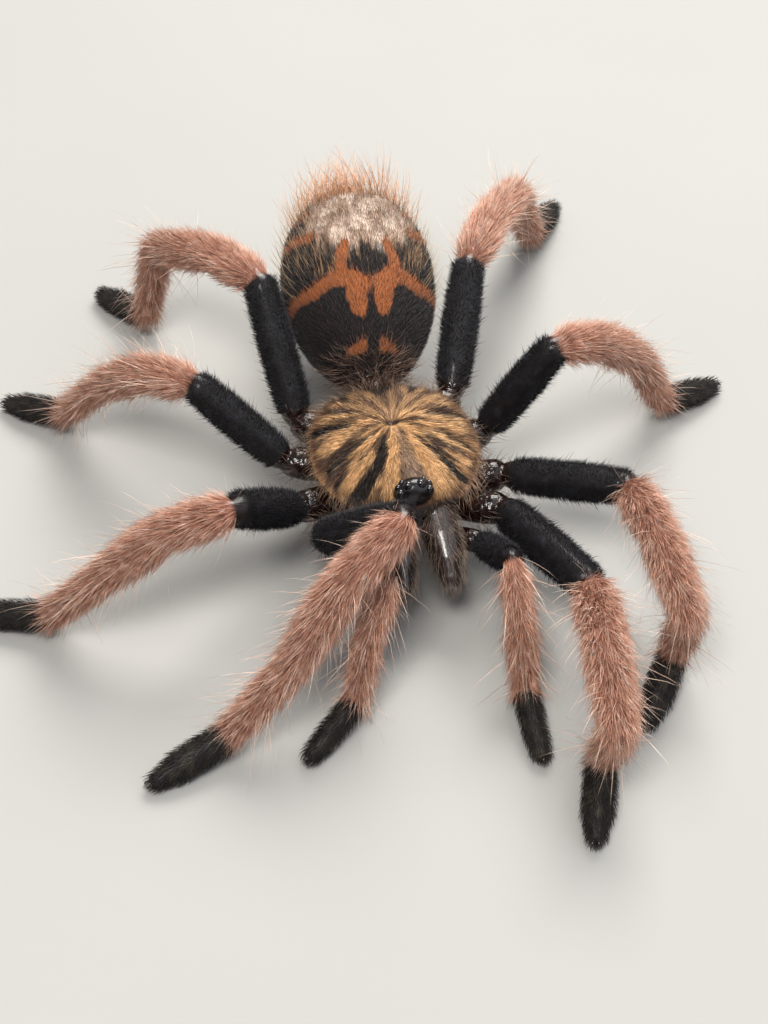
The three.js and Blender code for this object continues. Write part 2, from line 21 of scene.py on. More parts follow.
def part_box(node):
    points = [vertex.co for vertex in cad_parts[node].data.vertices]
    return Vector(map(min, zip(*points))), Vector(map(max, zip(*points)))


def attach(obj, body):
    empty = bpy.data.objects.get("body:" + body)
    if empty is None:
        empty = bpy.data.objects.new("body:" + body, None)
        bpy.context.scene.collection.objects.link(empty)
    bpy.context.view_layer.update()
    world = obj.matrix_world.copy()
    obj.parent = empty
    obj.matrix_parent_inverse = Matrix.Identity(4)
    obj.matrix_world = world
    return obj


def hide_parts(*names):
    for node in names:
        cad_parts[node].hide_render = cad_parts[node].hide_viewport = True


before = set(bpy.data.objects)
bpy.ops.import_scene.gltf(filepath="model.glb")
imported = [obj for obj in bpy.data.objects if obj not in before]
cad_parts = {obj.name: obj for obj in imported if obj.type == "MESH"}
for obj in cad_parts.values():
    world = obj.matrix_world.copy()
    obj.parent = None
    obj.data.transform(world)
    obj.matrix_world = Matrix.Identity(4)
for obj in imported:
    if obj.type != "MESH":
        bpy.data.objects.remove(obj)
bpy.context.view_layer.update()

Array = np.ndarray
Pair = tuple[float, float]
Triple = tuple[float, float, float]
Colour = tuple[float, float, float, float]
Faces = list[list[int]]
Form = tuple[Array, Faces]  # places and faces
Stripes = tuple[tuple[list[Pair], Pair], ...]  # middle lines, and half a width at both ends
Thing = bpy.types.Object
Mesh = bpy.types.Mesh
Material = bpy.types.Material
Socket = bpy.types.NodeSocket
Outputs = bpy.types.bpy_prop_collection
Inputs = dict[str | int, object]
Radius = Callable[[Array], Array]  # the radius at distances along a line
Curve = tuple[tuple[float, ...], tuple[float, ...]]  # places, and the value at each
Grid = tuple[int, int]  # rows and columns of faces

LOG = logging.getLogger("tarantula")
MM = 0.001
BODY = "root"
UP = np.array([0.0, 0.0, 1.0])
STERNUM_PLACE = (0.0, 0.1, 2.78)
SKIN_MAP = "OFBake"  # the name of the unwrap of the skin and of each coat
PATCH = 0.003  # side of a seta's own patch on the unwrap of the skin
JUST_OFF_FLOOR = 0.01


class Side(Enum):
    """The animal's own sides, as the sign of x."""

    LEFT = 1
    RIGHT = -1

    @property
    def word(self) -> str:
        """The side's name in the frame's nodes."""
        return self.name.lower()


class LimbKind(Enum):
    """The kinds of limb, by their names in the frame's nodes."""

    PALP = "palp"
    LEG1 = "leg1"
    LEG2 = "leg2"
    LEG3 = "leg3"
    LEG4 = "leg4"


class Zone(Enum):
    """Regions of the skin, in the order of its materials."""

    CARAPACE = 0
    ABDOMEN = 1
    COXA = 2
    FEMUR = 3
    SHANK = 4
    FOOT = 5
    JAW = 6
    UNDERSIDE = 7


class Slot(Enum):
    """Names for the finishes."""

    CUTICLE = "dark_cuticle"
    CARAPACE = "carapace_hair"
    ABDOMEN = "abdomen_hair"
    FEMUR = "femur_velvet"
    LEG = "leg_hair"
    FOOT = "foot_velvet"
    EYE = "eye"
    FANG = "fang"


# Left, bottom, width and height of each form's strip on the unwrap of the skin.
LIMB_NAMES = [f"{kind.value}_{side.word}" for kind in LimbKind for side in Side]
STRIPS = {name: (0.01 + 0.098 * i, 0.01, 0.09, 0.57) for i, name in enumerate(LIMB_NAMES)}
STRIPS |= {
    "carapace": (0.42, 0.62, 0.3, 0.3),
    "abdomen": (0.01, 0.6, 0.4, 0.38),
    "core": (0.74, 0.62, 0.12, 0.14),
    "sternum": (0.74, 0.78, 0.12, 0.14),
    "pedicel": (0.72, 0.94, 0.04, 0.05),
    "jaw_left": (0.42, 0.94, 0.09, 0.05),
    "jaw_right": (0.52, 0.94, 0.09, 0.05),
    "spinneret_left": (0.62, 0.94, 0.04, 0.05),
    "spinneret_right": (0.67, 0.94, 0.04, 0.05),
}


# ---- small sums
def smoothstep(low: float, high: float, value: Array) -> Array:
    """A smooth step from 0 at low to 1 at high."""
    share = np.clip((value - low) / (high - low), 0, 1)
    return share * share * (3 - 2 * share)


def unit(vectors: Array) -> Array:
    """The vectors at length 1."""
    return vectors / np.maximum(np.linalg.norm(vectors, axis=-1, keepdims=True), 1e-12)


def layers(*values: Array) -> Array:
    """Numbers that fit one shape, stacked as vectors."""
    return np.stack(np.broadcast_arrays(*values), axis=-1)


def turns(count: int) -> Array:
    """Equal steps round a circle, in radians."""
    return np.arange(count) * 2 * math.pi / count


def heading_vector(side: Side, heading: float, pitch: float) -> Array:
    """A unit vector from a heading and a pitch.

    Args:
        side: the side of the animal that it belongs to.
        heading: degrees from straight ahead, positive outwards.
        pitch: degrees over the horizon.

    Returns:
        The vector in the animal's coordinates.
    """
    h, p = math.radians(heading), math.radians(pitch)
    across = side.value * math.sin(h) * math.cos(p)
    return np.array([across, -math.cos(h) * math.cos(p), math.sin(p)])


def frame_shift() -> Array:
    """The place of the animal's own origin in the frame, from the box of its sternum."""
    middle = sum(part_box("sternum"), Vector()) / (2 * MM)
    return np.array([middle.x, middle.y - STERNUM_PLACE[1], 0.0])


SHIFT = frame_shift()


def stripe_depth(points: Array, stripes: Stripes, scale: Pair = (1.0, 1.0)) -> Array:
    """How far points of a plane lie inside the nearest of some rounded stripes.

    Args:
        points: (..., 2) places in millimetres.
        stripes: the stripes.
        scale: millimetres for each unit of the stripes' lines, across and along.

    Returns:
        Depth inside a stripe in millimetres, negative outside.
    """
    best = np.full(points.shape[:-1], -1e3)
    for line, radii in stripes:
        bends = np.array(line, float) * scale
        for i, (a, b) in enumerate(zip(bends[:-1], bends[1:])):
            along = np.clip(((points - a) @ (b - a)) / ((b - a) @ (b - a)), 0, 1)
            radius = radii[0] + (radii[1] - radii[0]) * (i + along) / (len(line) - 1)
            gap = np.linalg.norm(points - (a + along[..., None] * (b - a)), axis=-1)
            best = np.maximum(best, radius - gap)
    return best


def stations(joints: list[Array]) -> Array:
    """Distances along a line to each of its points."""
    gaps = [np.linalg.norm(b - a) for a, b in zip(joints[:-1], joints[1:])]
    return np.concatenate([[0.0], np.cumsum(gaps)])


# ---- meshes
def make_mesh(name: str, points: Array, faces: Faces) -> Mesh:
    """A smooth-shaded mesh.

    Args:
        name: its name.
        points: places in millimetres.
        faces: the numbers of each face's points.

    Returns:
        The mesh, in metres.
    """
    mesh = bpy.data.meshes.new(name)
    mesh.from_pydata((points * MM).tolist(), [], faces)
    mesh.polygons.foreach_set("use_smooth", [True] * len(mesh.polygons))
    return mesh


def unwrap(mesh: Mesh, name: str, places: list[list[Pair]]) -> None:
    """Gives a mesh a UV map from the places of each face's corners."""
    layer = mesh.uv_layers.new(name=name)
    layer.data.foreach_set("uv", np.array([p for face in places for p in face]).ravel())


def store(mesh: Mesh, name: str, values: Array) -> None:
    """Gives a mesh an attribute of a number or a vector for each vertex."""
    kind, key = ("FLOAT_VECTOR", "vector") if values.ndim > 1 else ("FLOAT", "value")
    mesh.attributes.new(name, kind, "POINT").data.foreach_set(key, np.float32(values).ravel())


def ring_faces(rows: int, columns: int) -> Faces:
    """The faces of a closed form of rings, of which the first and the last are one point.

    Args:
        rows: its rings.
        columns: the points of a ring.

    Returns:
        The faces, band by band.
    """
    last, faces = 1 + (rows - 2) * columns, []
    for a in range(1 - columns, last, columns):
        b = a + columns
        for j in range(columns):
            k = (j + 1) % columns
            corners = [min(max(0, v), last) for v in (a + j, a + k, b + k, b + j)]
            faces.append(list(dict.fromkeys(corners)))
    return faces


def flat(values: Array) -> Array:
    """Values of a form's rings as one list in the order of the vertices."""
    inner = values[1:-1].reshape(-1, *values.shape[2:])
    return np.concatenate([values[:1, 0], inner, values[-1:, 0]])


def ellipsoid(size: Triple, place: Triple, grid: Grid) -> Array:
    """The rings of an ellipsoid with its poles up and down.

    Args:
        size: its half sizes.
        place: its middle.
        grid: its rows and columns of faces.

    Returns:
        (rows + 1, columns, 3) places.
    """
    rows, columns = grid
    slopes, angles = np.linspace(0, math.pi, rows + 1)[:, None], turns(columns)
    around = np.sin(slopes)
    ball = layers(around * np.cos(angles), around * np.sin(angles), np.cos(slopes))
    return ball * np.array(size) + np.array(place)


def outwards(points: Array, faces: Faces) -> bool:
    """Whether a closed mesh's faces look out of it, so that its volume is positive."""
    fans = [[face[0], face[k], face[k + 1]] for face in faces for k in range(1, len(face) - 1)]
    return float(np.linalg.det(points[np.array(fans)]).sum()) >= 0


def new_object(name: str, mesh: Mesh) -> Thing:
    """A linked object of a mesh, with the same name.

    Args:
        name: the name of both.
        mesh: the mesh, in its place.

    Returns:
        The object, at the origin.
    """
    mesh.name = name
    thing = bpy.data.objects.new(name, mesh)
    bpy.context.scene.collection.objects.link(thing)
    return thing


def evaluated_mesh(thing: Thing) -> Mesh:
    """The mesh of an object after its modifiers, as plain data."""
    depsgraph = bpy.context.evaluated_depsgraph_get()
    return bpy.data.meshes.new_from_object(thing.evaluated_get(depsgraph))


def finished(name: str, mesh: Mesh, finish: list[Material], slot: Slot) -> Thing:
    """Makes a mesh a piece with its finish and its body.

    Args:
        name: the piece's name.
        mesh: its mesh, in its place.
        finish: its materials, in their order.
        slot: a name for the finish; not used.

    Returns:
        The piece.
    """
    thing = new_object(name, mesh)
    mesh.materials.clear()
    for material in finish:
        mesh.materials.append(material)
    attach(thing, BODY)
    return thing


def hard_piece(name: str, forms: list[Form], finish: Material, slot: Slot) -> Thing:
    """Several closed forms as one finished piece.

    Args:
        name: the piece's name.
        forms: places and faces of each form, in the animal's coordinates.
        finish: their material.
        slot: a name for it.

    Returns:
        The piece.
    """
    points, faces, start = [], [], 0
    for own, own_faces in forms:
        points.append(own)
        faces += [[start + v for v in face] for face in own_faces]
        start += len(own)
    mesh = make_mesh(name, np.concatenate(points) + SHIFT, faces)
    return finished(name, mesh, [finish], slot)


# ---- surfaces
@dataclass
class Shell:
    """A closed form of rings from pole to pole, with what its skin and coat need to know.

    Attributes:
        rings: (rows, columns, 3) places. The first and the last row are single points.
        zones: the zone of each band of faces.
        lie: the way that setae point, at each place.
        mark: depths inside three markings. On a limb they are the nearness to its knee, the
            distance from its hip and the height on its girth.
        spot: the place along and round the form, for fine patterns.
        edge: nearness to its rim or its rear end, where it has one.
    """

    name: str
    rings: Array
    zones: Array
    lie: Array
    mark: Array
    spot: Array
    edge: Array | None = None
    kind: LimbKind | None = None

    @property
    def shape(self) -> tuple[int, int]:
        """Its rows and columns."""
        return self.rings.shape[:2]

    def bands(self) -> tuple[Faces, list[list[Pair]]]:
        """The faces, band by band, with the unwrap's place of each of their corners.

        Returns:
            Vertex numbers and places on the unwrap.
        """
        rows, columns = self.shape
        left, bottom, width, height = STRIPS[self.name]
        step = np.linalg.norm(np.diff(self.rings, axis=0), axis=-1).mean(axis=1)
        along = np.concatenate([[0.0], np.cumsum(step)])
        along = bottom + height * along / along[-1]
        places = []
        for i in range(rows - 1):
            low, high = along[i], along[i + 1]
            for j in range(columns):
                u0, u1 = left + width * j / columns, left + width * (j + 1) / columns
                start, end = [(u0, low), (u1, low)], [(u1, high), (u0, high)]
                if i == 0:
                    start = [((u0 + u1) / 2, low)]
                elif i == rows - 2:
                    end = [((u0 + u1) / 2, high)]
                places.append(start + end)
        return ring_faces(rows, columns), places

    def mesh(self, keep: tuple[Zone, ...] = tuple(Zone)) -> Mesh:
        """The form as a mesh with its unwrap and attributes.

        Args:
            keep: the zones whose faces are kept.

        Returns:
            The mesh, in metres in the frame's coordinates, facing outwards.
        """
        faces, places = self.bands()
        points = flat(self.rings) + SHIFT
        if not outwards(points, faces):
            faces = [face[::-1] for face in faces]
            places = [place[::-1] for place in places]
        zones = np.repeat(self.zones, self.shape[1]).tolist()
        kept = [i for i, zone in enumerate(zones) if Zone(zone) in keep]
        mesh = make_mesh(self.name, points, [faces[i] for i in kept])
        unwrap(mesh, SKIN_MAP, [places[i] for i in kept])
        layer = mesh.attributes.new("zone", "INT", "FACE")
        layer.data.foreach_set("value", [zones[i] for i in kept])
        edge = np.zeros(self.shape) if self.edge is None else self.edge
        own = {"lie": self.lie, "mark": self.mark, "spot": self.spot, "edge": edge}
        for name, values in own.items():
            store(mesh, name, flat(values))
        return mesh


@dataclass
class Tube:
    """A round form swept along a line of points that bends softly at each of them.

    Attributes:
        soften: how far each side of a bend the line is rounded.
        spread: points of the line that each softened point is the mean of.
    """

    joints: list[Array]
    radius: Radius
    step: float = 0.17
    sides: int = 22
    soften: float = 0.55
    floor: float | None = None
    spread: int = 21
    cap_rows: int = 6
    least_rows: int = 8

    def line(self) -> tuple[Array, Array, Array]:
        """The softened line.

        Returns:
            Distances, places and unit tangents along it.
        """
        marks, joints = stations(self.joints), np.array(self.joints)
        end = marks[-1]
        along = np.linspace(0, end, max(self.least_rows, int(round(end / self.step))) + 1)
        reach = np.minimum(self.soften, np.minimum(along, end - along))
        offsets = np.linspace(-1, 1, self.spread)
        weights = (1 - offsets**2) ** 2
        weights = weights / weights.sum()
        places = np.zeros((len(along), 3))
        for offset, weight in zip(offsets, weights):
            spots = along + offset * reach
            for axis in range(3):
                places[:, axis] += weight * np.interp(spots, marks, joints[:, axis])
        return along, places, unit(np.gradient(places, axis=0))

    def rings(self) -> tuple[Array, Array, Array, Array]:
        """The tube's rings with rounded ends.

        Returns:
            Rings, their distances along the line, their angles round it and their tangents.
        """
        along, places, tangents = self.line()
        radii = self.radius(along)
        bow = np.linspace(0, math.pi / 2, self.cap_rows + 1)[:-1]
        head, tail = radii[0], radii[-1]
        before, after = -head * np.cos(bow), np.append(tail * np.sin(bow[1:]), tail)
        size = np.concatenate([head * np.sin(bow), radii, tail * np.cos(bow[1:]), [0.0]])
        start = places[0] + before[:, None] * tangents[0]
        finish = places[-1] + after[:, None] * tangents[-1]
        spots = np.concatenate([start, places, finish])
        ways = tangents[np.clip(np.arange(len(spots)) - len(before), 0, len(along) - 1)]
        sideways = unit(np.cross(ways, UP))
        dorsal = np.cross(sideways, ways)
        angles = turns(self.sides)
        cos, sin = np.cos(angles)[None, :, None], np.sin(angles)[None, :, None]
        out = sideways[:, None] * cos + dorsal[:, None] * sin
        rings = spots[:, None] + out * size[:, None, None]
        if self.floor is not None:
            rings[..., 2] = np.maximum(rings[..., 2], self.floor)
        return rings, np.concatenate([before, along, along[-1] + after]), angles, ways


# ---- limbs
@dataclass(frozen=True)
class LegSizes:
    """Segments as shares of the carapace's length, thickness, and both ends of a left coxa."""

    femur: float
    patella: float
    tibia: float
    metatarsus: float
    tarsus: float
    radius: float
    hip_radius: float
    root: Triple
    hip: Triple


@dataclass(frozen=True)
class Stance:
    """Heading and pitch of a leg's first segments, and the headings of its last two."""

    femur: Pair
    tibia: Pair
    metatarsus: float
    tarsus: float


PALP, LEG1, LEG2, LEG3, LEG4 = LimbKind
LEGS = {
    PALP: LegSizes(0.56, 0.32, 0.38, 0, 0.36, 0.72, 0.6, (1.45, -3.6, 2.85), (3.05, -4.95, 3.25)),
    LEG1: LegSizes(0.8, 0.42, 0.54, 0.48, 0.41, 1, 0.84, (2.15, -2.5, 3.45), (4.45, -3.6, 3.9)),
    LEG2: LegSizes(0.73, 0.39, 0.48, 0.45, 0.4, 0.96, 0.86, (2.4, -0.75, 3.45), (5.15, -1.45, 3.95)),
    LEG3: LegSizes(0.66, 0.36, 0.42, 0.48, 0.38, 0.94, 0.86, (2.4, 1.1, 3.45), (5.05, 1.85, 3.95)),
    LEG4: LegSizes(0.8, 0.39, 0.56, 0.64, 0.4, 0.96, 0.86, (2.1, 2.85, 3.45), (3.95, 4.5, 4.0)),
}
STANCES = {
    (PALP, Side.LEFT): Stance((4, 36), (-2, -56), 0, -2),
    (LEG1, Side.LEFT): Stance((19, 9), (-9, 1), 180, -20),
    (LEG2, Side.LEFT): Stance((52, 16), (3, -5), 184, -35),
    (LEG3, Side.LEFT): Stance((88, 56), (112, -34), 112, 110),
    (LEG4, Side.LEFT): Stance((158, 30), (147, -10), 144, 142),
    (PALP, Side.RIGHT): Stance((-10, 38), (40, -58), 0, 50),
    (LEG1, Side.RIGHT): Stance((-36, 43), (60, -33), 78, 70),
    (LEG2, Side.RIGHT): Stance((44, 41), (97, -32), 116, 112),
    (LEG3, Side.RIGHT): Stance((122, 39), (137, -28), 134, 128),
    (LEG4, Side.RIGHT): Stance((171, 46), (148, -17), 147, 145),
}


@dataclass
class Limb:
    """A leg or palp from its coxa to its foot.

    Attributes:
        arch: degrees that its patella rises over the line from knee to ankle.
        coat_depths: how far its skin lies under the outline of its velvet, by segment.
        trochanter: length of the bare ring at the root of its femur.
        pinches: how much narrower it is at its hip, at its knee and at its other joints.
        bulge: how much thicker its patella is, as far past its knee as bulge_reach.
    """

    kind: LimbKind
    side: Side
    carapace_length: float = 9.0
    ankle_z: float = 1.15
    toe_z: float = 0.5
    toe_radius: float = 0.52
    arch: float = 12.0
    coat_depths: tuple[float, ...] = (0.04, 0.12, 0.27, 0.26, 0.15)
    trochanter: float = 0.5
    bare_knee: float = 0.14
    pinches: Triple = (0.18, 0.16, 0.07)
    pinch_reach: float = 0.2
    bulge: float = 0.05
    bulge_reach: float = 0.5
    floor: float = 0.05

    @property
    def name(self) -> str:
        """The limb's name in the frame's nodes."""
        return f"{self.kind.value}_{self.side.word}"

    @property
    def is_palp(self) -> bool:
        """Whether it is a palp, which has no metatarsus."""
        return self.kind is PALP

    def joints(self) -> list[Array]:
        """Its joints.

        Returns:
            Places from the coxa's root to the toe, without a heel on a palp.
        """
        legs, stance = LEGS[self.kind], STANCES[self.kind, self.side]
        root, hip = (np.array([self.side.value * x, y, z]) for x, y, z in (legs.root, legs.hip))
        length = self.carapace_length
        knee = hip + legs.femur * length * heading_vector(self.side, *stance.femur)
        heading, pitch = stance.tibia
        sag = self.arch * legs.patella / legs.tibia
        rise = heading_vector(self.side, heading, pitch + self.arch)
        fall = heading_vector(self.side, heading, pitch - sag)
        bend = knee + legs.patella * length * rise
        points = [root, hip, knee, bend, bend + legs.tibia * length * fall]
        if not self.is_palp:
            ankle = (legs.metatarsus, stance.metatarsus, self.ankle_z)
            points.append(self.step_down(points[-1], *ankle))
        points.append(self.step_down(points[-1], legs.tarsus, stance.tarsus, self.toe_z))
        return points

    def step_down(self, start: Array, share: float, heading: float, height: float) -> Array:
        """The end of a segment that comes down to a height.

        Args:
            start: its other end.
            share: its length as a share of the carapace's.
            heading: degrees from straight ahead.
            height: of the end.

        Returns:
            The place of the end.
        """
        length = share * self.carapace_length
        pitch = -math.degrees(math.asin((start[2] - height) / length))
        return start + length * heading_vector(self.side, heading, pitch)

    def spans(self, last: int) -> list[tuple[int, int, list[Pair], float]]:
        """The outline of each segment.

        Args:
            last: the number of its toe among its joints.

        Returns:
            The numbers of its joints, radii at shares of its length, and their unit.
        """
        legs = LEGS[self.kind]
        radius, hip = legs.radius, legs.hip_radius
        toe = (1, self.toe_radius / radius)
        coxa = [(0, 0.76 * hip), (0.6, hip), (1, 0.86 * radius)]
        femur = [(0, 0.82), (0.22, 0.96), (0.6, 1.0), (1, 0.9)]
        tibia = [(0, 0.88), (0.2, 1.06), (0.43, 1.02), (0.65, 1.08), (1, 0.9)]
        spans = [(0, 1, coxa, 1.0), (1, 2, femur, radius), (2, 4, tibia, radius)]
        if self.is_palp:
            foot = [(0, 0.88), (0.4, 0.9), (0.75, 0.86), toe]
        else:
            spans.append((4, 5, [(0, 0.88), (0.5, 0.84), (1, 0.76)], radius))
            foot = [(0, 0.74), (0.3, 0.8), (0.7, 0.78), toe]
        return [*spans, (last - 1, last, foot, radius)]

    def profile(self, marks: Array) -> Radius:
        """The skin's radius along the limb, narrow at each joint.

        Args:
            marks: the distances of its joints.

        Returns:
            The function that gives the radius at distances along it.
        """
        depths = self.coat_depths[:3] + self.coat_depths[3 + self.is_palp :]
        shorter = 0.999  # ends a segment just before the next one starts
        at, size = [], []
        for (first, last, shape, scale), depth in zip(self.spans(len(marks) - 1), depths):
            for share, value in shape:
                at.append(marks[first] + (marks[last] - marks[first]) * share * shorter)
                size.append(value * scale - depth)
        hip, knee, other = self.pinches
        pinches = [(marks[1], hip), (marks[2], knee)] + [(mark, other) for mark in marks[3:-1]]

        def radius_at(along: Array) -> Array:
            """The radius at distances along the limb.

            Args:
                along: the distances.

            Returns:
                A radius for each.
            """
            total = np.interp(along, at, size)
            for mark, depth in pinches:
                total = total * (1 - depth * np.exp(-(((along - mark) / self.pinch_reach) ** 2)))
            past = (along - marks[2] - self.bulge_reach) / self.bulge_reach
            return total * (1 + self.bulge * np.exp(-(past**2)))

        return radius_at

    def shell(self) -> Shell:
        """Its closed form with its zones, lie and markings.

        Returns:
            The form.
        """
        joints = self.joints()
        marks = stations(joints)
        tube = Tube(joints, self.profile(marks), floor=self.floor)
        rings, along, angles, ways = tube.rings()
        changes = [marks[1] + self.trochanter, marks[2], marks[-2]]
        order = np.array([z.value for z in (Zone.COXA, Zone.FEMUR, Zone.SHANK, Zone.FOOT)])
        zones = order[np.searchsorted(changes, (along[:-1] + along[1:]) / 2)]
        near_knee = np.exp(-(((along - marks[2]) / self.bare_knee) ** 2))
        along = along[:, None]
        mark = layers(near_knee[:, None], along - marks[1], np.sin(angles))
        spot = layers(along, np.cos(angles), np.sin(angles))
        lie = np.repeat(ways[:, None], len(angles), axis=1)
        return Shell(self.name, rings, zones, lie, mark, spot, kind=self.kind)

    def nodes(self) -> list[str]:
        """The frame's nodes that its skin stands for."""
        segments = ["coxa", "femur", "tibia"] + ["metatarsus"] * (not self.is_palp) + ["tarsus"]
        return [f"{self.name}_{segment}" for segment in segments]


# ---- carapace
@dataclass
class Carapace:
    """The shield over the front of the body, with grooves that run out from its pit.

    Attributes:
        fall: power of its dome, smaller for a flatter top.
        squareness: how far its four corners stand out of the oval.
        caput_side: where the swollen head fades, inside and outside of its half width.
        caput_front: where it fades behind its rear.
        groove_edge: the depths inside a ray between which its groove starts.
        comb_down: how steeply the setae point down to the rim.
        cap_line: the pale middle of the head.
        stripes: the dark rays, as seen from above. The first one's wide end and the wide one at the
            rear middle are partly painted shade.
    """

    half_width: float = 4.05
    half_length: float = 4.5
    rim_z: float = 5.12
    bottom_z: float = 4.95
    rise: float = 1.3
    fall: float = 0.55
    squareness: float = 0.06
    head_narrowing: float = 0.16
    caput_rise: float = 0.42
    caput_half_width: float = 2.0
    caput_rear: float = -0.4
    caput_side: Pair = (-0.5, 1.1)
    caput_front: Pair = (-1.4, 1.6)
    fovea: Pair = (0.1, 1.2)
    fovea_depth: float = 0.34
    fovea_radius: float = 0.5
    groove_depth: float = 0.1
    groove_edge: Pair = (-0.3, 0.12)
    dish: float = 0.12
    comb_down: float = 0.25
    coat_depth: float = 0.05
    top_rows: int = 46
    under_rows: int = 12
    columns: int = 128
    cap_line: Stripes = (([(0.05, 0.4), (0.2, -3.1)], (0.1, 0.6)),)
    stripes: Stripes = (
        # The wide end of this ray is partly a painted shadow of the right first leg.
        ([(-0.5, -0.1), (-0.8, -1.0), (-1.3, -1.9), (-2.6, -3.1)], (0.16, 0.42)),
        ([(0.75, -0.2), (1.15, -1.1), (1.8, -1.9), (2.7, -2.9)], (0.08, 0.27)),
        ([(-1.3, 0.2), (-2.1, -0.15), (-3.4, -1.1)], (0.07, 0.26)),
        ([(1.6, 0.2), (2.3, -0.2), (3.3, -0.9)], (0.05, 0.17)),
        ([(1.15, 0.0), (1.5, -0.9)], (0.05, 0.12)),
        ([(-1.2, -0.6), (-1.9, -1.1)], (0.04, 0.12)),
        ([(-2.4, -0.9), (-3.2, -1.9)], (0.05, 0.2)),
        ([(-1.6, 1.3), (-2.4, 1.4), (-3.5, 1.7)], (0.09, 0.28)),
        ([(1.6, 1.35), (2.4, 1.3), (3.4, 1.3)], (0.06, 0.2)),
        ([(-1.2, 2.9), (-1.9, 3.9)], (0.05, 0.3)),
        ([(1.3, 2.9), (1.9, 3.9)], (0.05, 0.3)),
        # This wide ray at the rear middle is partly painted shade under the overhanging abdomen.
        ([(0.1, 3.4), (0.1, 4.4)], (0.3, 1.0)),
        ([(0.0, 1.25), (0.5, 1.2)], (0.2, 0.14)),
        ([(-0.6, 1.2), (-0.35, 1.22)], (0.1, 0.08)),
        ([(-2.2, -3.9), (-1.2, -4.35), (0.0, -4.5), (1.2, -4.35), (2.2, -3.95)], (0.32, 0.36)),
    )
    bright_stripes: Stripes = (
        ([(-0.1, 0.2), (-0.4, -1.6), (-0.75, -3.6)], (0.12, 0.34)),
        ([(0.5, 0.8), (0.75, -1.6), (1.35, -3.4)], (0.12, 0.32)),
        ([(-1.4, 0.9), (-3.1, 0.2)], (0.16, 0.3)),
        ([(-1.2, -0.9), (-2.3, -1.9)], (0.15, 0.3)),
        ([(1.8, -1.1), (2.9, -1.9)], (0.12, 0.25)),
        ([(1.3, 0.7), (3.1, 0.1)], (0.12, 0.22)),
    )

    def narrowing(self, y: Array) -> Array:
        """How wide it is at a distance from its middle, as a share of its widest."""
        return 1 - self.head_narrowing * smoothstep(0.5, self.half_length, -y)

    def height(self, x: Array, y: Array, share: Array, dark: Array) -> Array:
        """The height of its top over its rim.

        Args:
            x: places across it.
            y: places along it.
            share: 1 at its middle and 0 at its rim.
            dark: depth inside the dark rays.

        Returns:
            A height for each place.
        """
        dome = self.rise * share**self.fall
        inside = smoothstep(*self.caput_side, self.caput_half_width - np.abs(x))
        ahead = smoothstep(*self.caput_front, self.caput_rear - y)
        from_pit = (x - self.fovea[0]) ** 2 + (y - self.fovea[1]) ** 2
        pit = np.exp(-from_pit / self.fovea_radius**2)
        groove = smoothstep(*self.groove_edge, dark) * smoothstep(0, 0.25, share)
        top = dome + self.caput_rise * inside * ahead * smoothstep(0, 0.35, share)
        return top - self.fovea_depth * pit - self.groove_depth * groove

    def shell(self) -> Shell:
        """Its closed form.

        Returns:
            The form, with the setae's lie away from the pit.
        """
        angles = turns(self.columns)[None, :]
        top = np.sin(np.linspace(0, math.pi / 2, self.top_rows))
        under = np.linspace(1, 0, self.under_rows)[1:]
        spread = np.concatenate([top, under])[:, None] * np.ones(self.columns)[None, :]
        is_top = (np.arange(len(spread)) < self.top_rows)[:, None]
        square = 1 + self.squareness * np.sin(2 * angles) ** 2
        y = self.half_length * spread * np.sin(angles) * square
        x = self.half_width * spread * np.cos(angles) * square * self.narrowing(y)
        places = layers(x, y)
        dark = stripe_depth(places, self.stripes)
        share = 1 - spread**2
        skin = self.coat_depth * smoothstep(0, 0.3, share)
        over = self.rim_z + self.height(x, y, share, dark) - skin
        below = self.bottom_z - self.dish * smoothstep(0, 0.5, share)
        rings = layers(x, y, np.where(is_top, over, below))
        away = layers(x - self.fovea[0], y - self.fovea[1])
        distance = np.linalg.norm(away, axis=-1)
        lie = unit(layers(away[..., 0], away[..., 1], -self.comb_down * distance))
        centre = stripe_depth(places, self.cap_line)
        mark = layers(dark, centre, stripe_depth(places, self.bright_stripes))
        turn = np.arctan2(away[..., 1], away[..., 0])
        spot = layers(distance, np.cos(turn), np.sin(turn))
        zones = np.where(is_top[1:, 0], Zone.CARAPACE.value, Zone.UNDERSIDE.value)
        return Shell("carapace", rings, zones, lie, mark, spot, spread)


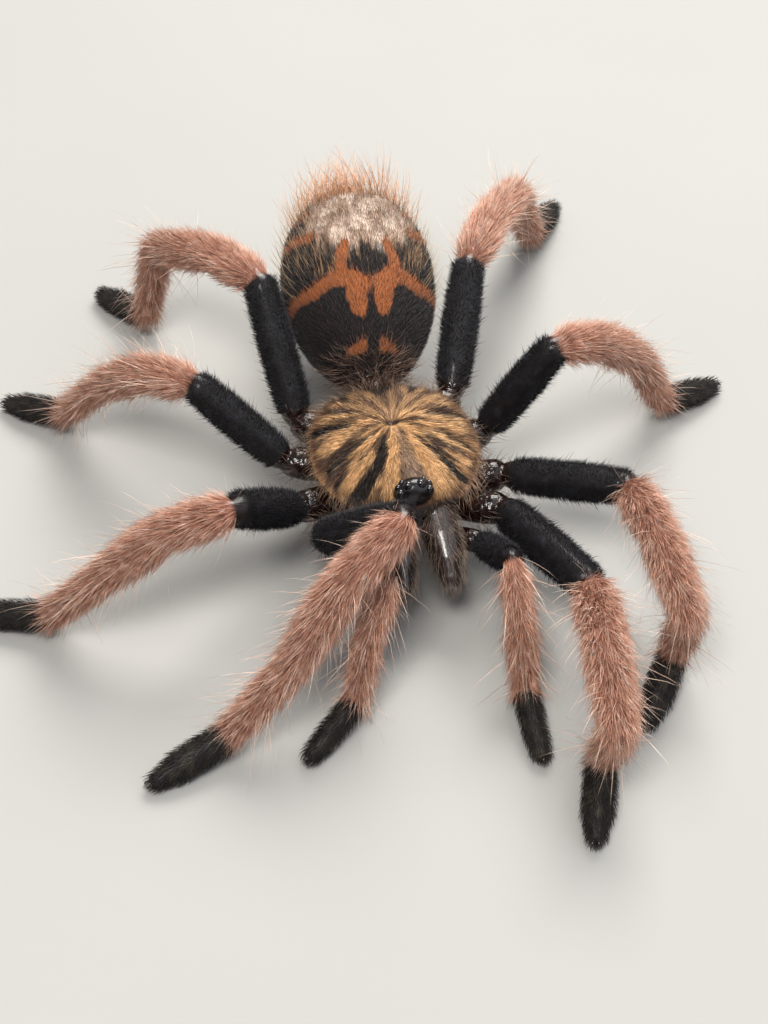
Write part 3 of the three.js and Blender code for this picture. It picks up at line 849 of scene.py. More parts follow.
# ---- abdomen
@dataclass
class Abdomen:
    """The egg-shaped rear of the body, with its banded back.

    Attributes:
        rear_shift: how far its widest part lies behind its middle.
        midline: degrees that the markings are turned to the left.
        arc: millimetres across its back for a degree.
        grain_radius: its half width in the fine patterns.
        bands: the orange bands, in degrees from its midline and shares of its half length.
        notch: start, length, half width and widening of the dark line between the bands.
        heart: share, half width, half length and slant of the dark spot on its middle.
        patch: share, half width, half length, widening and power of the pale patch.
    """

    half_width: float = 4.05
    half_length: float = 5.85
    half_height: float = 3.85
    start: Pair = (0.0, 5.05)
    z: float = 6.25
    tilt: float = 13.0
    yaw: float = 6.0
    rear_shift: float = 0.1
    coat_depth: float = 0.2
    rows: int = 90
    columns: int = 100
    midline: float = 5.0
    arc: float = 0.07
    grain_radius: float = 4.0
    bands: Stripes = (
        ([(12, -0.85), (22, -0.855), (44, -0.875)], (0.27, 0.05)),
        ([(10, -0.39), (12, -0.5), (11, -0.56)], (0.7, 0.62)),
        ([(8, -0.36), (30, -0.33), (50, -0.375), (64, -0.35), (110, -0.3)], (0.42, 0.24)),
        ([(22, -0.28), (20, -0.14), (16, -0.01)], (0.34, 0.27)),
        ([(42, 0.18), (62, 0.25), (110, 0.3)], (0.3, 0.34)),
        ([(48, 0.5), (75, 0.56), (115, 0.58)], (0.2, 0.26)),
        ([(35, 0.83), (80, 0.84), (120, 0.85)], (0.3, 0.3)),
    )
    notch: tuple[float, float, float, float] = (-0.36, 2.2, 0.05, 0.16)
    heart: tuple[float, float, float, float] = (-0.18, 0.93, 1.12, 0.55)
    patch: tuple[float, float, float, float, float] = (0.43, 2.7, 2.75, 0.6, 2.6)
    patch_fade: float = 1.6
    flecks: Stripes = (
        ([(13, 0.38), (20, 0.41)], (0.03, 0.1)),
        ([(21, 0.31), (24, 0.33)], (0.05, 0.0)),
    )
    tan_line: Stripes = (([(30, -0.2), (42, -0.08), (52, 0.06)], (0.75, 0.6)),)

    def matrix(self) -> Matrix:
        """The way from its own frame, +Y back along its axis, to the animal's.

        Returns:
            The matrix, in millimetres.
        """
        tilt, yaw = math.radians(self.tilt), math.radians(self.yaw)
        level = math.cos(tilt) * self.half_length
        turn = Matrix.Rotation(-yaw, 4, "Z") @ Matrix.Rotation(tilt, 4, "X")
        x, y = self.start
        turn.translation = (x + math.sin(yaw) * level, y + math.cos(yaw) * level, self.z)
        return turn

    def to_body(self, points: Array, is_place: bool = True) -> Array:
        """Points or directions of its own frame in the animal's coordinates.

        Args:
            points: (..., 3) points or directions.
            is_place: whether they are points.

        Returns:
            The same in the animal's coordinates.
        """
        matrix = np.array(self.matrix())
        turned = points @ matrix[:3, :3].T
        return turned + matrix[:3, 3] if is_place else turned

    def markings(self, turn: Array, share: Array) -> Array:
        """Depths inside the markings.

        Args:
            turn: degrees round it from the middle of its back.
            share: place along its axis, from -1 in front to 1 behind.

        Returns:
            Depth in millimetres inside the orange, the pale patch and the tan beside the spot.
        """
        scale = (self.arc, self.half_length)
        places = layers(np.abs(turn), share) * np.array(scale)
        across, along = places[..., 0], places[..., 1]
        start, length, half, widening = self.notch
        drop = (start - share) * self.half_length
        line = np.where((drop > 0) & (drop < length), half + widening * drop, half) - across
        middle, half, length, slant = self.heart
        heart_y = along - middle * self.half_length
        heart = np.minimum(half - across, length - np.abs(heart_y) - slant * across)
        orange = np.minimum(stripe_depth(places, self.bands, scale), -np.maximum(line, heart))
        middle, half, length, widening, power = self.patch
        wide = half + widening * smoothstep(0.0, 0.4, share)
        behind = np.abs(along - middle * self.half_length) / length
        oval = ((across / wide) ** power + behind**power) ** (1 / power)
        pale = np.minimum(self.patch_fade * (1 - oval), -heart)
        pale = np.minimum(pale, -stripe_depth(places, self.flecks, scale))
        tan = np.minimum(stripe_depth(places, self.tan_line, scale), -heart)
        return layers(orange, pale, tan)

    def shell(self) -> Shell:
        """Its closed form.

        Returns:
            The form, with the setae's lie towards its rear.
        """
        slope = np.linspace(0, math.pi, self.rows + 1)[:, None] * np.ones(self.columns)[None, :]
        angles = (turns(self.columns) - math.pi)[None, :]
        share, around = -np.cos(slope), np.sin(slope)
        ball = layers(around * np.sin(angles), share, around * np.cos(angles))
        shrink = np.array([self.half_width, self.half_length, self.half_height]) - self.coat_depth
        normal = self.to_body(unit(ball / shrink), is_place=False)
        shifted = ball.copy()
        shifted[..., 1] += self.rear_shift * (1 - share**2)
        back = self.to_body(np.array([0.0, 1.0, 0.0]), is_place=False)
        lie = unit(back - (normal @ back)[..., None] * normal)
        degrees = np.degrees(angles) * np.ones_like(share) - self.midline
        mark = self.markings(degrees, share)
        round_it = ball * self.grain_radius
        spot = layers(share * self.half_length, round_it[..., 0], round_it[..., 2])
        zones = np.full(self.rows, Zone.ABDOMEN.value)
        rings = self.to_body(shifted * shrink)
        return Shell("abdomen", rings, zones, lie, mark, spot, share)


# ---- small fleshy parts
@dataclass
class Trunk:
    """The core between the coxae, the sternum, the pedicel, the jaws and the spinnerets.

    Attributes:
        pedicel_sink: how deep the stalk goes into the abdomen.
        jaw_shape: shares of a jaw's length and of its radius there.
        spinneret_place: its x, and its y and z as shares of the abdomen's half sizes.
        spinneret_way: its heading and pitch.
        fine_step: distance between the rings of the jaws and the spinnerets.
    """

    abdomen: Abdomen
    core_size: Triple = (1.95, 3.6, 1.35)
    core_place: Triple = (0.0, 0.15, 4.6)
    sternum_size: Triple = (1.95, 2.55, 0.42)
    oval_grid: Grid = (24, 40)
    pedicel_radius: float = 0.68
    pedicel_start: Triple = (0.0, 3.4, 4.35)
    pedicel_sink: float = 0.8
    jaw_length: float = 3.2
    jaw_radius: float = 0.93
    jaw_root: Triple = (1.08, -3.9, 4.62)
    jaw_pitch: float = -28.0
    jaw_splay: float = 2.0
    jaw_sides: int = 28
    jaw_shape: Curve = ((0, 0.35, 0.75, 1), (0.9, 0.98, 0.86, 0.6))
    spinneret_length: float = 2.4
    spinneret_radius: float = 0.38
    spinneret_place: Triple = (0.62, 0.9, -0.3)
    spinneret_way: Pair = (165, 12)
    spinneret_sides: int = 18
    spinneret_shape: Curve = ((0, 0.3, 0.36, 0.62, 0.68, 1), (1, 1, 0.82, 0.84, 0.66, 0.36))
    fine_step: float = 0.12

    def oval(self, name: str, size: Triple, place: Triple) -> Shell:
        """An ellipsoid of the underside.

        Args:
            name: the part that it is.
            size: its half sizes.
            place: its middle.

        Returns:
            The form.
        """
        rings = ellipsoid(size, place, self.oval_grid)
        lie = np.zeros_like(rings)
        lie[..., 1] = -1
        zones = np.full(len(rings) - 1, Zone.UNDERSIDE.value)
        return Shell(name, rings, zones, lie, np.zeros_like(rings), rings.copy())

    def stalk(self, name: str, tube: Tube, zone: Zone) -> Shell:
        """A short tube of one zone.

        Args:
            name: the part that it is.
            tube: its form.
            zone: its zone.

        Returns:
            The form as a shell.
        """
        rings, along, angles, ways = tube.rings()
        zones = np.full(len(rings) - 1, zone.value)
        lie = np.repeat(ways[:, None], rings.shape[1], axis=1)
        mark = layers(0.0, along[:, None], np.sin(angles))
        return Shell(name, rings, zones, lie, mark, rings.copy())

    def taper(self, shape: Curve, length: float, radius: float) -> Radius:
        """The radius along a tapered tube, from shares of its length and of its radius."""
        return lambda along: radius * np.interp(along / length, *shape)

    def jaw_line(self, side: Side) -> tuple[Array, Array]:
        """The root of a jaw and the direction of its middle line."""
        root = np.array(self.jaw_root) * (side.value, 1, 1)
        return root, heading_vector(side, self.jaw_splay, self.jaw_pitch)

    def jaw(self, side: Side) -> Shell:
        """One of the two thick jaws.

        Args:
            side: the side that it is on.

        Returns:
            The form.
        """
        root, way = self.jaw_line(side)
        line = [root, root + way * self.jaw_length / 2, root + way * self.jaw_length]
        radius = self.taper(self.jaw_shape, self.jaw_length, self.jaw_radius)
        tube = Tube(line, radius, self.fine_step, self.jaw_sides)
        return self.stalk(f"jaw_{side.word}", tube, Zone.JAW)

    def spinneret(self, side: Side) -> Shell:
        """One of the two long spinnerets, in three joints.

        Args:
            side: the side that it is on.

        Returns:
            The form.
        """
        body, (x, y, z) = self.abdomen, self.spinneret_place
        own = np.array([side.value * x, body.half_length * y, body.half_height * z])
        start = body.to_body(own)
        way, length = heading_vector(side, *self.spinneret_way), self.spinneret_length
        radius = self.taper(self.spinneret_shape, length, self.spinneret_radius)
        line = [start, start + way * length / 2, start + way * length]
        tube = Tube(line, radius, self.fine_step, self.spinneret_sides)
        return self.stalk(f"spinneret_{side.word}", tube, Zone.COXA)

    def pedicel(self) -> Shell:
        """The stalk between the carapace and the abdomen.

        Returns:
            The form.
        """
        start, body = np.array(self.pedicel_start), self.abdomen
        end = body.to_body(np.array([0.0, self.pedicel_sink - body.half_length, 0.0]))
        line = [start, (start + end) / 2, end]
        tube = Tube(line, lambda along: np.full_like(along, self.pedicel_radius))
        return self.stalk("pedicel", tube, Zone.COXA)

    def shells(self) -> list[Shell]:
        """Every small part.

        Returns:
            The forms.
        """
        core = self.oval("core", self.core_size, self.core_place)
        plate = self.oval("sternum", self.sternum_size, STERNUM_PLACE)
        parts = [core, plate, self.pedicel()]
        for side in Side:
            parts += [self.jaw(side), self.spinneret(side)]
        return parts


# ---- materials
def linear(hex_colour: str) -> Colour:
    """A colour in linear light.

    Args:
        hex_colour: its sRGB hex value.

    Returns:
        Red, green, blue and an opacity of 1.
    """
    parts = [int(hex_colour[i : i + 2], 16) / 255 for i in (1, 3, 5)]
    light = [c / 12.92 if c <= 0.04045 else ((c + 0.055) / 1.055) ** 2.4 for c in parts]
    return (*light, 1.0)


def add_node(
    tree: bpy.types.NodeTree, kind: str, inputs: Inputs | None = None, **settings: object
) -> Outputs:
    """Adds a node with its settings, values and links.

    Args:
        tree: the tree that it goes into.
        kind: the node's type.
        inputs: a value or another node's output for each input, by name or number.
        settings: the node's own settings.

    Returns:
        The node's outputs.
    """
    node = tree.nodes.new(kind)
    for name, value in settings.items():
        setattr(node, name, value)
    for key, value in (inputs or {}).items():
        if isinstance(value, Socket):
            tree.links.new(value, node.inputs[key])
        else:
            node.inputs[key].default_value = value
    return node.outputs


class Cuticle:
    """A material in the making: one shader, and colours that are laid over one another."""

    def __init__(self, name: str, base: str, surface: dict[str, float]) -> None:
        """Starts a material.

        Args:
            name: the material's name.
            base: the sRGB hex value of the colour under all others.
            surface: the shader's own values that are the same all over, by socket.
        """
        self.material = bpy.data.materials.new(name)
        self.material.use_nodes = True
        self.tree = self.material.node_tree
        self.shader = self.tree.nodes["Principled BSDF"]
        for socket, value in surface.items():
            self.shader.inputs[socket].default_value = value
        self.colour: Socket | Colour = linear(base)

    def node(self, kind: str, inputs: Inputs | None = None, **settings: object) -> Outputs:
        """The outputs of a new node of the material."""
        return add_node(self.tree, f"ShaderNode{kind}", inputs, **settings)

    def depths(self) -> Outputs:
        """The depths inside the form's three markings."""
        mark = self.node("Attribute", attribute_name="mark")["Vector"]
        return self.node("SeparateXYZ", {0: mark})

    def grain(self, size: float, detail: float = 2.0, place: Socket | None = None) -> Socket:
        """Soft noise from 0 to 1.

        Args:
            size: millimetres across a grain.
            detail: how many times finer grains are added.
            place: where it is drawn, in millimetres, or None for the piece's own place.

        Returns:
            The noise.
        """
        scale = 1 / size
        if place is None:
            place, scale = self.node("TexCoord")["Object"], 1 / (size * MM)
        return self.node("TexNoise", {"Vector": place, "Scale": scale, "Detail": detail})[0]

    def streaks(self, along: float, around: float, detail: float) -> Socket:
        """Noise drawn out along the lie of the setae.

        Args:
            along: streaks for each millimetre along the lie.
            around: streaks for each unit of the form's spot, across the lie.
            detail: how many times finer streaks are added.

        Returns:
            The noise, from 0 to 1.
        """
        spot = self.node("Attribute", attribute_name="spot")["Vector"]
        inputs = {0: spot, 1: (along, around, around)}
        return self.grain(1.0, detail, self.node("VectorMath", inputs, operation="MULTIPLY")[0])

    def edge(self, depth: Socket, softness: float, grain: Socket, ragged: float) -> Socket:
        """A marking's cover from its depth.

        Args:
            depth: millimetres inside the marking.
            softness: half the width of its soft edge.
            grain: the noise that moves its edge.
            ragged: how far the noise moves it.

        Returns:
            The cover, from 0 to 1.
        """
        moved = self.node("Math", {0: grain, 1: 0.5}, operation="SUBTRACT")[0]
        moved = self.node("Math", {0: moved, 1: ragged, 2: depth}, operation="MULTIPLY_ADD")[0]
        inputs = {"Value": moved, "From Min": -softness, "From Max": softness}
        return self.node("MapRange", inputs, interpolation_type="SMOOTHSTEP")[0]

    def layer(
        self,
        colour: str,
        cover: Socket,
        between: Pair | None = None,
        most: float = 1.0,
        within: Socket | None = None,
    ) -> None:
        """Lays a colour over what is there.

        Args:
            colour: its sRGB hex value.
            cover: the number that says where it lies.
            between: the numbers at which it is bare and full, or None for 0 and 1.
            most: its cover where it is full, where between is given.
            within: another cover that it is kept inside, if any.
        """
        if between is not None:
            inputs = {"Value": cover, "From Min": between[0], "From Max": between[1]}
            cover = self.node("MapRange", inputs | {"To Max": most})[0]
        if within is not None:
            cover = self.node("Math", {0: cover, 1: within}, operation="MULTIPLY")[0]
        inputs = {0: cover, 6: self.colour, 7: linear(colour)}
        self.colour = self.node("Mix", inputs, data_type="RGBA")[2]

    def vary(self, low: float, high: float) -> None:
        """Makes each seta darker or lighter, by its own tone.

        Args:
            low: the darkest seta's value.
            high: the lightest seta's value.
        """
        tone = self.node("Attribute", attribute_name="tone")["Fac"]
        value = self.node("MapRange", {"Value": tone, "To Min": low, "To Max": high})[0]
        self.colour = self.node("HueSaturation", {"Value": value, "Color": self.colour})[0]

    def relief(self, size: float, depth: float) -> None:
        """Adds bumps of a size and a depth in millimetres."""
        inputs = {"Height": self.grain(size), "Distance": depth * MM, "Strength": 1.0}
        self.tree.links.new(self.node("Bump", inputs)[0], self.shader.inputs["Normal"])

    def done(self) -> Material:
        """The finished material."""
        self.tree.links.new(self.colour, self.shader.inputs["Base Color"])
        return self.material


@dataclass(frozen=True)
class CarapaceFinish:
    """Felt of golden setae on chitin cuticle, which grew hard and bare in the grooves.

    The felt gives the eye soft gold streaks that run out from the pit and glint along the
    hairs. The bare grooves between them read as dark rays, two of which are partly painted shade, and
    the rear is darkened with painted shade.
    """

    gold: str = "#AC8459"
    bright: str = "#E2B480"
    brown: str = "#533A2C"
    stripe: str = "#221814"
    cap: str = "#B0947E"
    # Painted shade behind the pit, where the abdomen overhangs.
    rear: str = "#6E5240"
    rim: str = "#7C5743"

    def build(self, name: str, is_hair: bool) -> Material:
        """The finish of the skin or of its hairs, with the same rays.

        Args:
            name: the material's name.
            is_hair: whether it is for the hairs.

        Returns:
            The material.
        """
        gloss, shine = (0.42, 0.5) if is_hair else (0.6, 0.25)
        made = Cuticle(name, self.gold, {"Roughness": gloss, "Specular IOR Level": shine})
        stripe, cap, bright = made.depths()
        rim = made.node("Attribute", attribute_name="edge")["Fac"]
        spot = made.node("Attribute", attribute_name="spot")["Vector"]
        behind = made.node("SeparateXYZ", {0: spot})[2]
        # A seta is about 0.02 mm thick, which doesn't show. The streaks are locks of many,
        # 1.4 and 2 mm long and 0.5 mm wide half way to the rim.
        streak = made.streaks(0.7, 5.5, 3.0)
        lock = made.streaks(0.5, 4.6, 1.0)
        made.layer(self.bright, streak, (0.48, 0.56))
        made.layer(self.brown, streak, (0.49, 0.42))
        made.layer(self.brown, lock, (0.45, 0.38), 0.8)
        made.layer(self.bright, lock, (0.55, 0.63), 0.85)
        # Darker behind the pit: painted shade under the overhanging abdomen.
        made.layer(self.rear, behind, (0.3, 0.9), 0.55)
        made.layer(self.rim, rim, (0.76, 0.93), 0.62)
        made.layer(self.bright, rim, (0.955, 0.985), 0.55)
        made.layer(self.cap, made.edge(cap, 0.3, streak, 0.9), (0.0, 1.0), 0.8)
        made.layer(self.bright, made.edge(bright, 0.1, streak, 0.6))
        # The rays' colour also paints shade at the first ray's wide end and at the rear middle.
        made.layer(self.stripe, made.edge(stripe, 0.08, streak, 0.6))
        if is_hair:
            made.vary(0.45, 1.35)
        else:
            made.relief(0.08, 0.02)
        return made.done()


@dataclass(frozen=True)
class AbdomenFinish:
    """Velvet of short setae that grow close on soft, folded skin.

    The velvet drinks the light, so the black reads deep and the orange bands matt. The pale
    patch is a shield of barbed hairs, which scatter it and shimmer like worn bronze.
    """

    black: str = "#171112"
    brown: str = "#33231C"
    orange: str = "#93552F"
    patch: str = "#A28A7A"
    patch_light: str = "#D8C6B6"
    patch_dark: str = "#725544"
    tan: str = "#9C7656"

    def build(self, name: str, is_hair: bool) -> Material:
        """The finish of the skin or of its hairs, with the same markings.

        Args:
            name: the material's name.
            is_hair: whether it is for the hairs.

        Returns:
            The material.
        """
        gloss, shine = (0.5, 0.3) if is_hair else (0.75, 0.15)
        surface = {"Roughness": gloss, "Specular IOR Level": shine, "Sheen Weight": 0.1}
        made = Cuticle(name, self.black, surface)
        orange, pale, tan = made.depths()
        spot = made.node("Attribute", attribute_name="spot")["Vector"]
        # Tufts of the barbed hairs are about 0.5 mm wide. The streaks and threads, 0.25 and
        # 0.1 mm wide, are drawn coarser than a real hair of 0.02 mm, which doesn't show.
        rough, fine = made.grain(0.45, 3.0, spot), made.grain(0.75, 4.0, spot)
        streak, threads = made.streaks(0.5, 4.0, 3.0), made.streaks(0.3, 9.0, 2.0)
        made.layer(self.brown, rough, (0.5, 0.8), 0.7)
        made.layer(self.tan, threads, (0.5, 0.62), 0.85, made.edge(tan, 0.4, rough, 0.8))
        made.layer(self.tan, made.edge(pale, 0.3, streak, 1.8))
        made.layer(self.patch, made.edge(pale, 0.7, streak, 1.6), (0.3, 0.8))
        made.layer(self.patch_light, fine, (0.47, 0.6), 0.9, made.edge(pale, 0.6, rough, 0.8))
        made.layer(self.patch_dark, rough, (0.48, 0.38), 0.75, made.edge(pale, 0.3, fine, 0.5))
        made.layer(self.orange, made.edge(orange, 0.08, streak, 0.5))
        if is_hair:
            made.vary(0.66, 1.2)
        else:
            made.relief(0.1, 0.03)
        return made.done()


@dataclass(frozen=True)
class LegFinish:
    """Cuticle of a limb, or setae that grew on it: one colour in darker and lighter tufts.

    The cuticle is chitin that is smooth and reddish dark at the joints, where it shines. The
    setae are hollow chitin hairs, paler towards their thin tips.
    """

    main: str
    dark: str
    light: str
    roughness: float
    specular: float
    coat: float = 0.0
    coat_roughness: float = 0.12
    joint: str = "#1D100E"
    joint_roughness: float = 0.12

    def build(self, name: str, is_hair: bool) -> Material:
        """The finish of the skin or of its hairs.

        Args:
            name: the material's name.
            is_hair: whether it is for the hairs.

        Returns:
            The material.
        """
        surface = {"Roughness": self.roughness, "Specular IOR Level": self.specular}
        if not is_hair:
            surface |= {"Coat Weight": self.coat, "Coat Roughness": self.coat_roughness}
        made = Cuticle(name, self.main, surface)
        tuft = made.grain(0.5)  # a tuft of real setae is about as wide
        made.layer(self.dark, tuft, (0.5, 0.32), 0.8)
        made.layer(self.light, tuft, (0.52, 0.7), 0.7)
        if is_hair:
            reach = made.node("Attribute", attribute_name="reach")["Fac"]
            made.layer(self.light, reach, (0.3, 1.0), 0.5)
            made.vary(0.6, 1.3)
            return made.done()
        near_joint = made.depths()[0]
        made.layer(self.joint, near_joint, (0.25, 0.8))
        inputs = {"Value": near_joint, "From Min": 0.3, "From Max": 0.7}
        inputs |= {"To Min": self.roughness, "To Max": self.joint_roughness}
        made.tree.links.new(made.node("MapRange", inputs)[0], made.shader.inputs["Roughness"])
        made.relief(0.07, 0.02)  # real scales are 0.01 mm, too fine to show
        return made.done()


@dataclass(frozen=True)
class GlossFinish:
    """Bare chitin cuticle that hardened smooth under a waxy film: dark, with small glints."""

    main: str
    mottle: str
    roughness: float
    bump: float = 0.0
    coat: float = 0.0
    coat_roughness: float = 0.06

    def build(self, name: str) -> Material:
        """The finish.

        Args:
            name: the material's name.

        Returns:
            The material.
        """
        surface = {"Roughness": self.roughness, "Specular IOR Level": 0.5}
        surface |= {"Coat Weight": self.coat, "Coat Roughness": self.coat_roughness}
        made = Cuticle(name, self.main, surface)
        made.layer(self.mottle, made.grain(0.3, 3.0), (0.45, 0.7))  # as wide as real mottles
        if self.bump:
            made.relief(0.28, self.bump)
        return made.done()


class Palette:
    """Every finish of the animal, made once."""

    @staticmethod
    def hair(name: str, main: str, dark: str, light: str, *gloss: float) -> Material:
        """A finish of plain hairs, from its colours, roughness and specular level."""
        return LegFinish(main, dark, light, *gloss).build(name, True)

    def __init__(self) -> None:
        """Builds the materials."""
        black = LegFinish("#161314", "#0C0A0B", "#282830", 0.6, 0.25, 0.22)
        foot = LegFinish("#211D1B", "#121112", "#3F372D", 0.55, 0.3)
        shank = LegFinish("#8A5A48", "#6B4132", "#A06E5A", 0.6, 0.2, 0.5)
        jaw = LegFinish("#2E2320", "#1B1412", "#52463F", 0.2, 0.5, 0.6)
        underside = GlossFinish("#3A2620", "#513629", 0.45, 0.02)
        self.skin = {
            Zone.CARAPACE: CarapaceFinish().build("carapace_cuticle", False),
            Zone.ABDOMEN: AbdomenFinish().build("abdomen_skin", False),
            # Hard, waxy chitin, nearly black: the joints by the body glint as if wet.
            Zone.COXA: GlossFinish("#130A09", "#2A1510", 0.16, 0.09).build("coxa_cuticle"),
            # Black chitin under velvet: it shows as a faint gloss where the velvet is thin.
            Zone.FEMUR: black.build("femur_cuticle", False),
            # Brown chitin: it darkens the gaps in the salmon hair and gleams at the knee.
            Zone.SHANK: shank.build("shank_cuticle", False),
            # Dark chitin with no wax: the foot stays matt.
            Zone.FOOT: foot.build("foot_cuticle", False),
            # Thick polished chitin: a long soft highlight down each jaw.
            Zone.JAW: jaw.build("jaw_cuticle", False),
            # Thinner, browner chitin, half matt, on the side that faces the floor.
            Zone.UNDERSIDE: underside.build("underside_cuticle"),
        }
        self.carapace_hair = CarapaceFinish().build("golden_setae", True)
        self.abdomen_hair = AbdomenFinish().build("abdomen_velvet_setae", True)
        # Velvet of short black setae: hardly any gloss, and a bluish bloom on the tufts.
        self.femur_hair = black.build("black_velvet_setae", True)
        # Scopula, a dense sole of black setae: matt, with a brown bloom.
        self.foot_hair = foot.build("black_scopula_setae", True)
        # Setae with little pigment: salmon, paler and clearer towards their tips.
        self.shank_hair = self.hair("salmon_setae", "#D0977D", "#A36B55", "#F0CEBC", 0.55, 0.25)
        # Long hairs with almost no pigment: single lines that catch the light.
        self.bristle = self.hair("pale_bristle_setae", "#E0BEA9", "#C79B83", "#F4E6DA", 0.45, 0.4)
        # Tan and orange hairs: a loose veil with bright threads over the velvet.
        self.long_hair = self.hair("long_abdomen_setae", "#9A8262", "#6B5640", "#D8B98F", 0.4, 0.5)
        self.tuft_hair = self.hair("rear_tuft_setae", "#C8906C", "#A2694A", "#E6C0A0", 0.45, 0.4)
        # Grey and brown hairs: they soften the dark roots of the limbs, the rim and the waist.
        self.grey_hair = self.hair("grey_setae", "#6E5B4F", "#3B2F2A", "#B09A8A", 0.45, 0.4)
        self.rim_hair = self.hair("rim_setae", "#7E6350", "#4A382E", "#B8987C", 0.45, 0.4)
        self.waist_hair = self.hair("waist_setae", "#665044", "#40302A", "#A98D7B", 0.45, 0.35)
        # Clear chitin lens over a dark cup: black, with one sharp glint.
        self.eye = GlossFinish("#0B0B0D", "#15131A", 0.06, 0.0, 0.6).build("eye_lens")
        # Hard black chitin, finely pebbled: it lifts the eyes off with softer glints.
        self.mound = GlossFinish("#0B0909", "#191212", 0.24, 0.01).build("eye_mound_cuticle")
        # The hardest chitin, worn smooth: glossy black with a red cast.
        self.fang = GlossFinish("#120B0A", "#2B120D", 0.14, 0.0, 0.4).build("fang_cuticle")


# ---- skin
@dataclass
class Skin:
    """One closed surface of all the fleshy forms."""

    shells: list[Shell]
    palette: Palette

    def build(self, nodes: list[str]) -> Thing:
        """Joins the forms into one skin.

        Args:
            nodes: the frame's nodes that the skin stands for.

        Returns:
            The finished piece.
        """
        things = [new_object(f"part_{i}", shell.mesh()) for i, shell in enumerate(self.shells)]
        others = bpy.data.collections.new("skin_parts")
        for thing in things[1:]:
            others.objects.link(thing)
        union = things[0].modifiers.new("union", "BOOLEAN")
        union.operation = "UNION"
        union.operand_type = "COLLECTION"
        union.collection = others
        union.solver = "MANIFOLD"
        mesh = evaluated_mesh(things[0])
        for thing in things:
            bpy.data.objects.remove(thing)
        bpy.data.collections.remove(others)
        skin = finished("skin", mesh, [self.palette.skin[zone] for zone in Zone], Slot.CUTICLE)
        zones = np.zeros(len(mesh.polygons), np.int32)
        mesh.attributes["zone"].data.foreach_get("value", zones)
        mesh.polygons.foreach_set("material_index", zones)
        mesh.polygons.foreach_set("use_smooth", [True] * len(zones))
        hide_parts(*nodes)
        return skin


# ---- setae
@dataclass(frozen=True)
class Seta:
    """One hair: a thin, tapered, bent spine of three sides.

    Attributes:
        rise: degrees off the skin at its root.
        droop: degrees that it bends down to the skin on its way.
        bends: rings between its root and its tip.
        sink: how deep its root goes into the skin.
        taper: the power of its taper, larger for a fuller middle.
    """

    length: float
    width: float
    rise: float
    droop: float = 20.0
    bends: int = 1
    sink: float = 0.05
    taper: float = 1.6

    def build(self, name: str) -> Thing:
        """Makes the hair, rooted at the origin.

        Args:
            name: the object's name.

        Returns:
            The hair, with +Z out of the skin and +Y along its lie.
        """
        rows, sides = self.bends + 1, 3
        shares = np.linspace(0, 1, rows + 1)
        slopes = np.radians(self.rise - self.droop * shares)
        steps = layers(np.zeros_like(slopes), np.cos(slopes), np.sin(slopes))
        middles = (steps[:-1] + steps[1:]) / 2
        moves = np.cumsum(middles * (self.length + self.sink) / rows, axis=0)
        spine = np.concatenate([[np.zeros(3)], moves]) - steps[0] * self.sink
        across = np.array([1.0, 0.0, 0.0])
        points = []
        for share, spot, way in zip(shares[:-1], spine, steps):
            size = self.width / 2 * (1 - share**self.taper)
            for turn in np.radians([90, 210, 330]):
                out = math.cos(turn) * across + math.sin(turn) * np.cross(across, way)
                points.append(spot + size * out)
        points.append(spine[-1])
        faces, places = [[2, 1, 0]], [[(1.0, 0.0), (0.5, 0.0), (0.0, 0.0)]]
        for i in range(rows):
            low, high, first = i / rows, (i + 1) / rows, sides * i
            for j in range(sides):
                k = (j + 1) % sides
                u0, u1 = j / sides, (j + 1) / sides
                if i < rows - 1:
                    faces.append([first + j, first + k, first + sides + k, first + sides + j])
                    places.append([(u0, low), (u1, low), (u1, high), (u0, high)])
                else:
                    faces.append([first + j, first + k, len(points) - 1])
                    places.append([(u0, low), (u1, low), ((u0 + u1) / 2, high)])
        mesh = make_mesh(name, np.array(points), faces)
        unwrap(mesh, "patch", places)
        store(mesh, "reach", np.append(np.repeat(shares[:-1], sides), 1.0))
        return new_object(name, mesh)


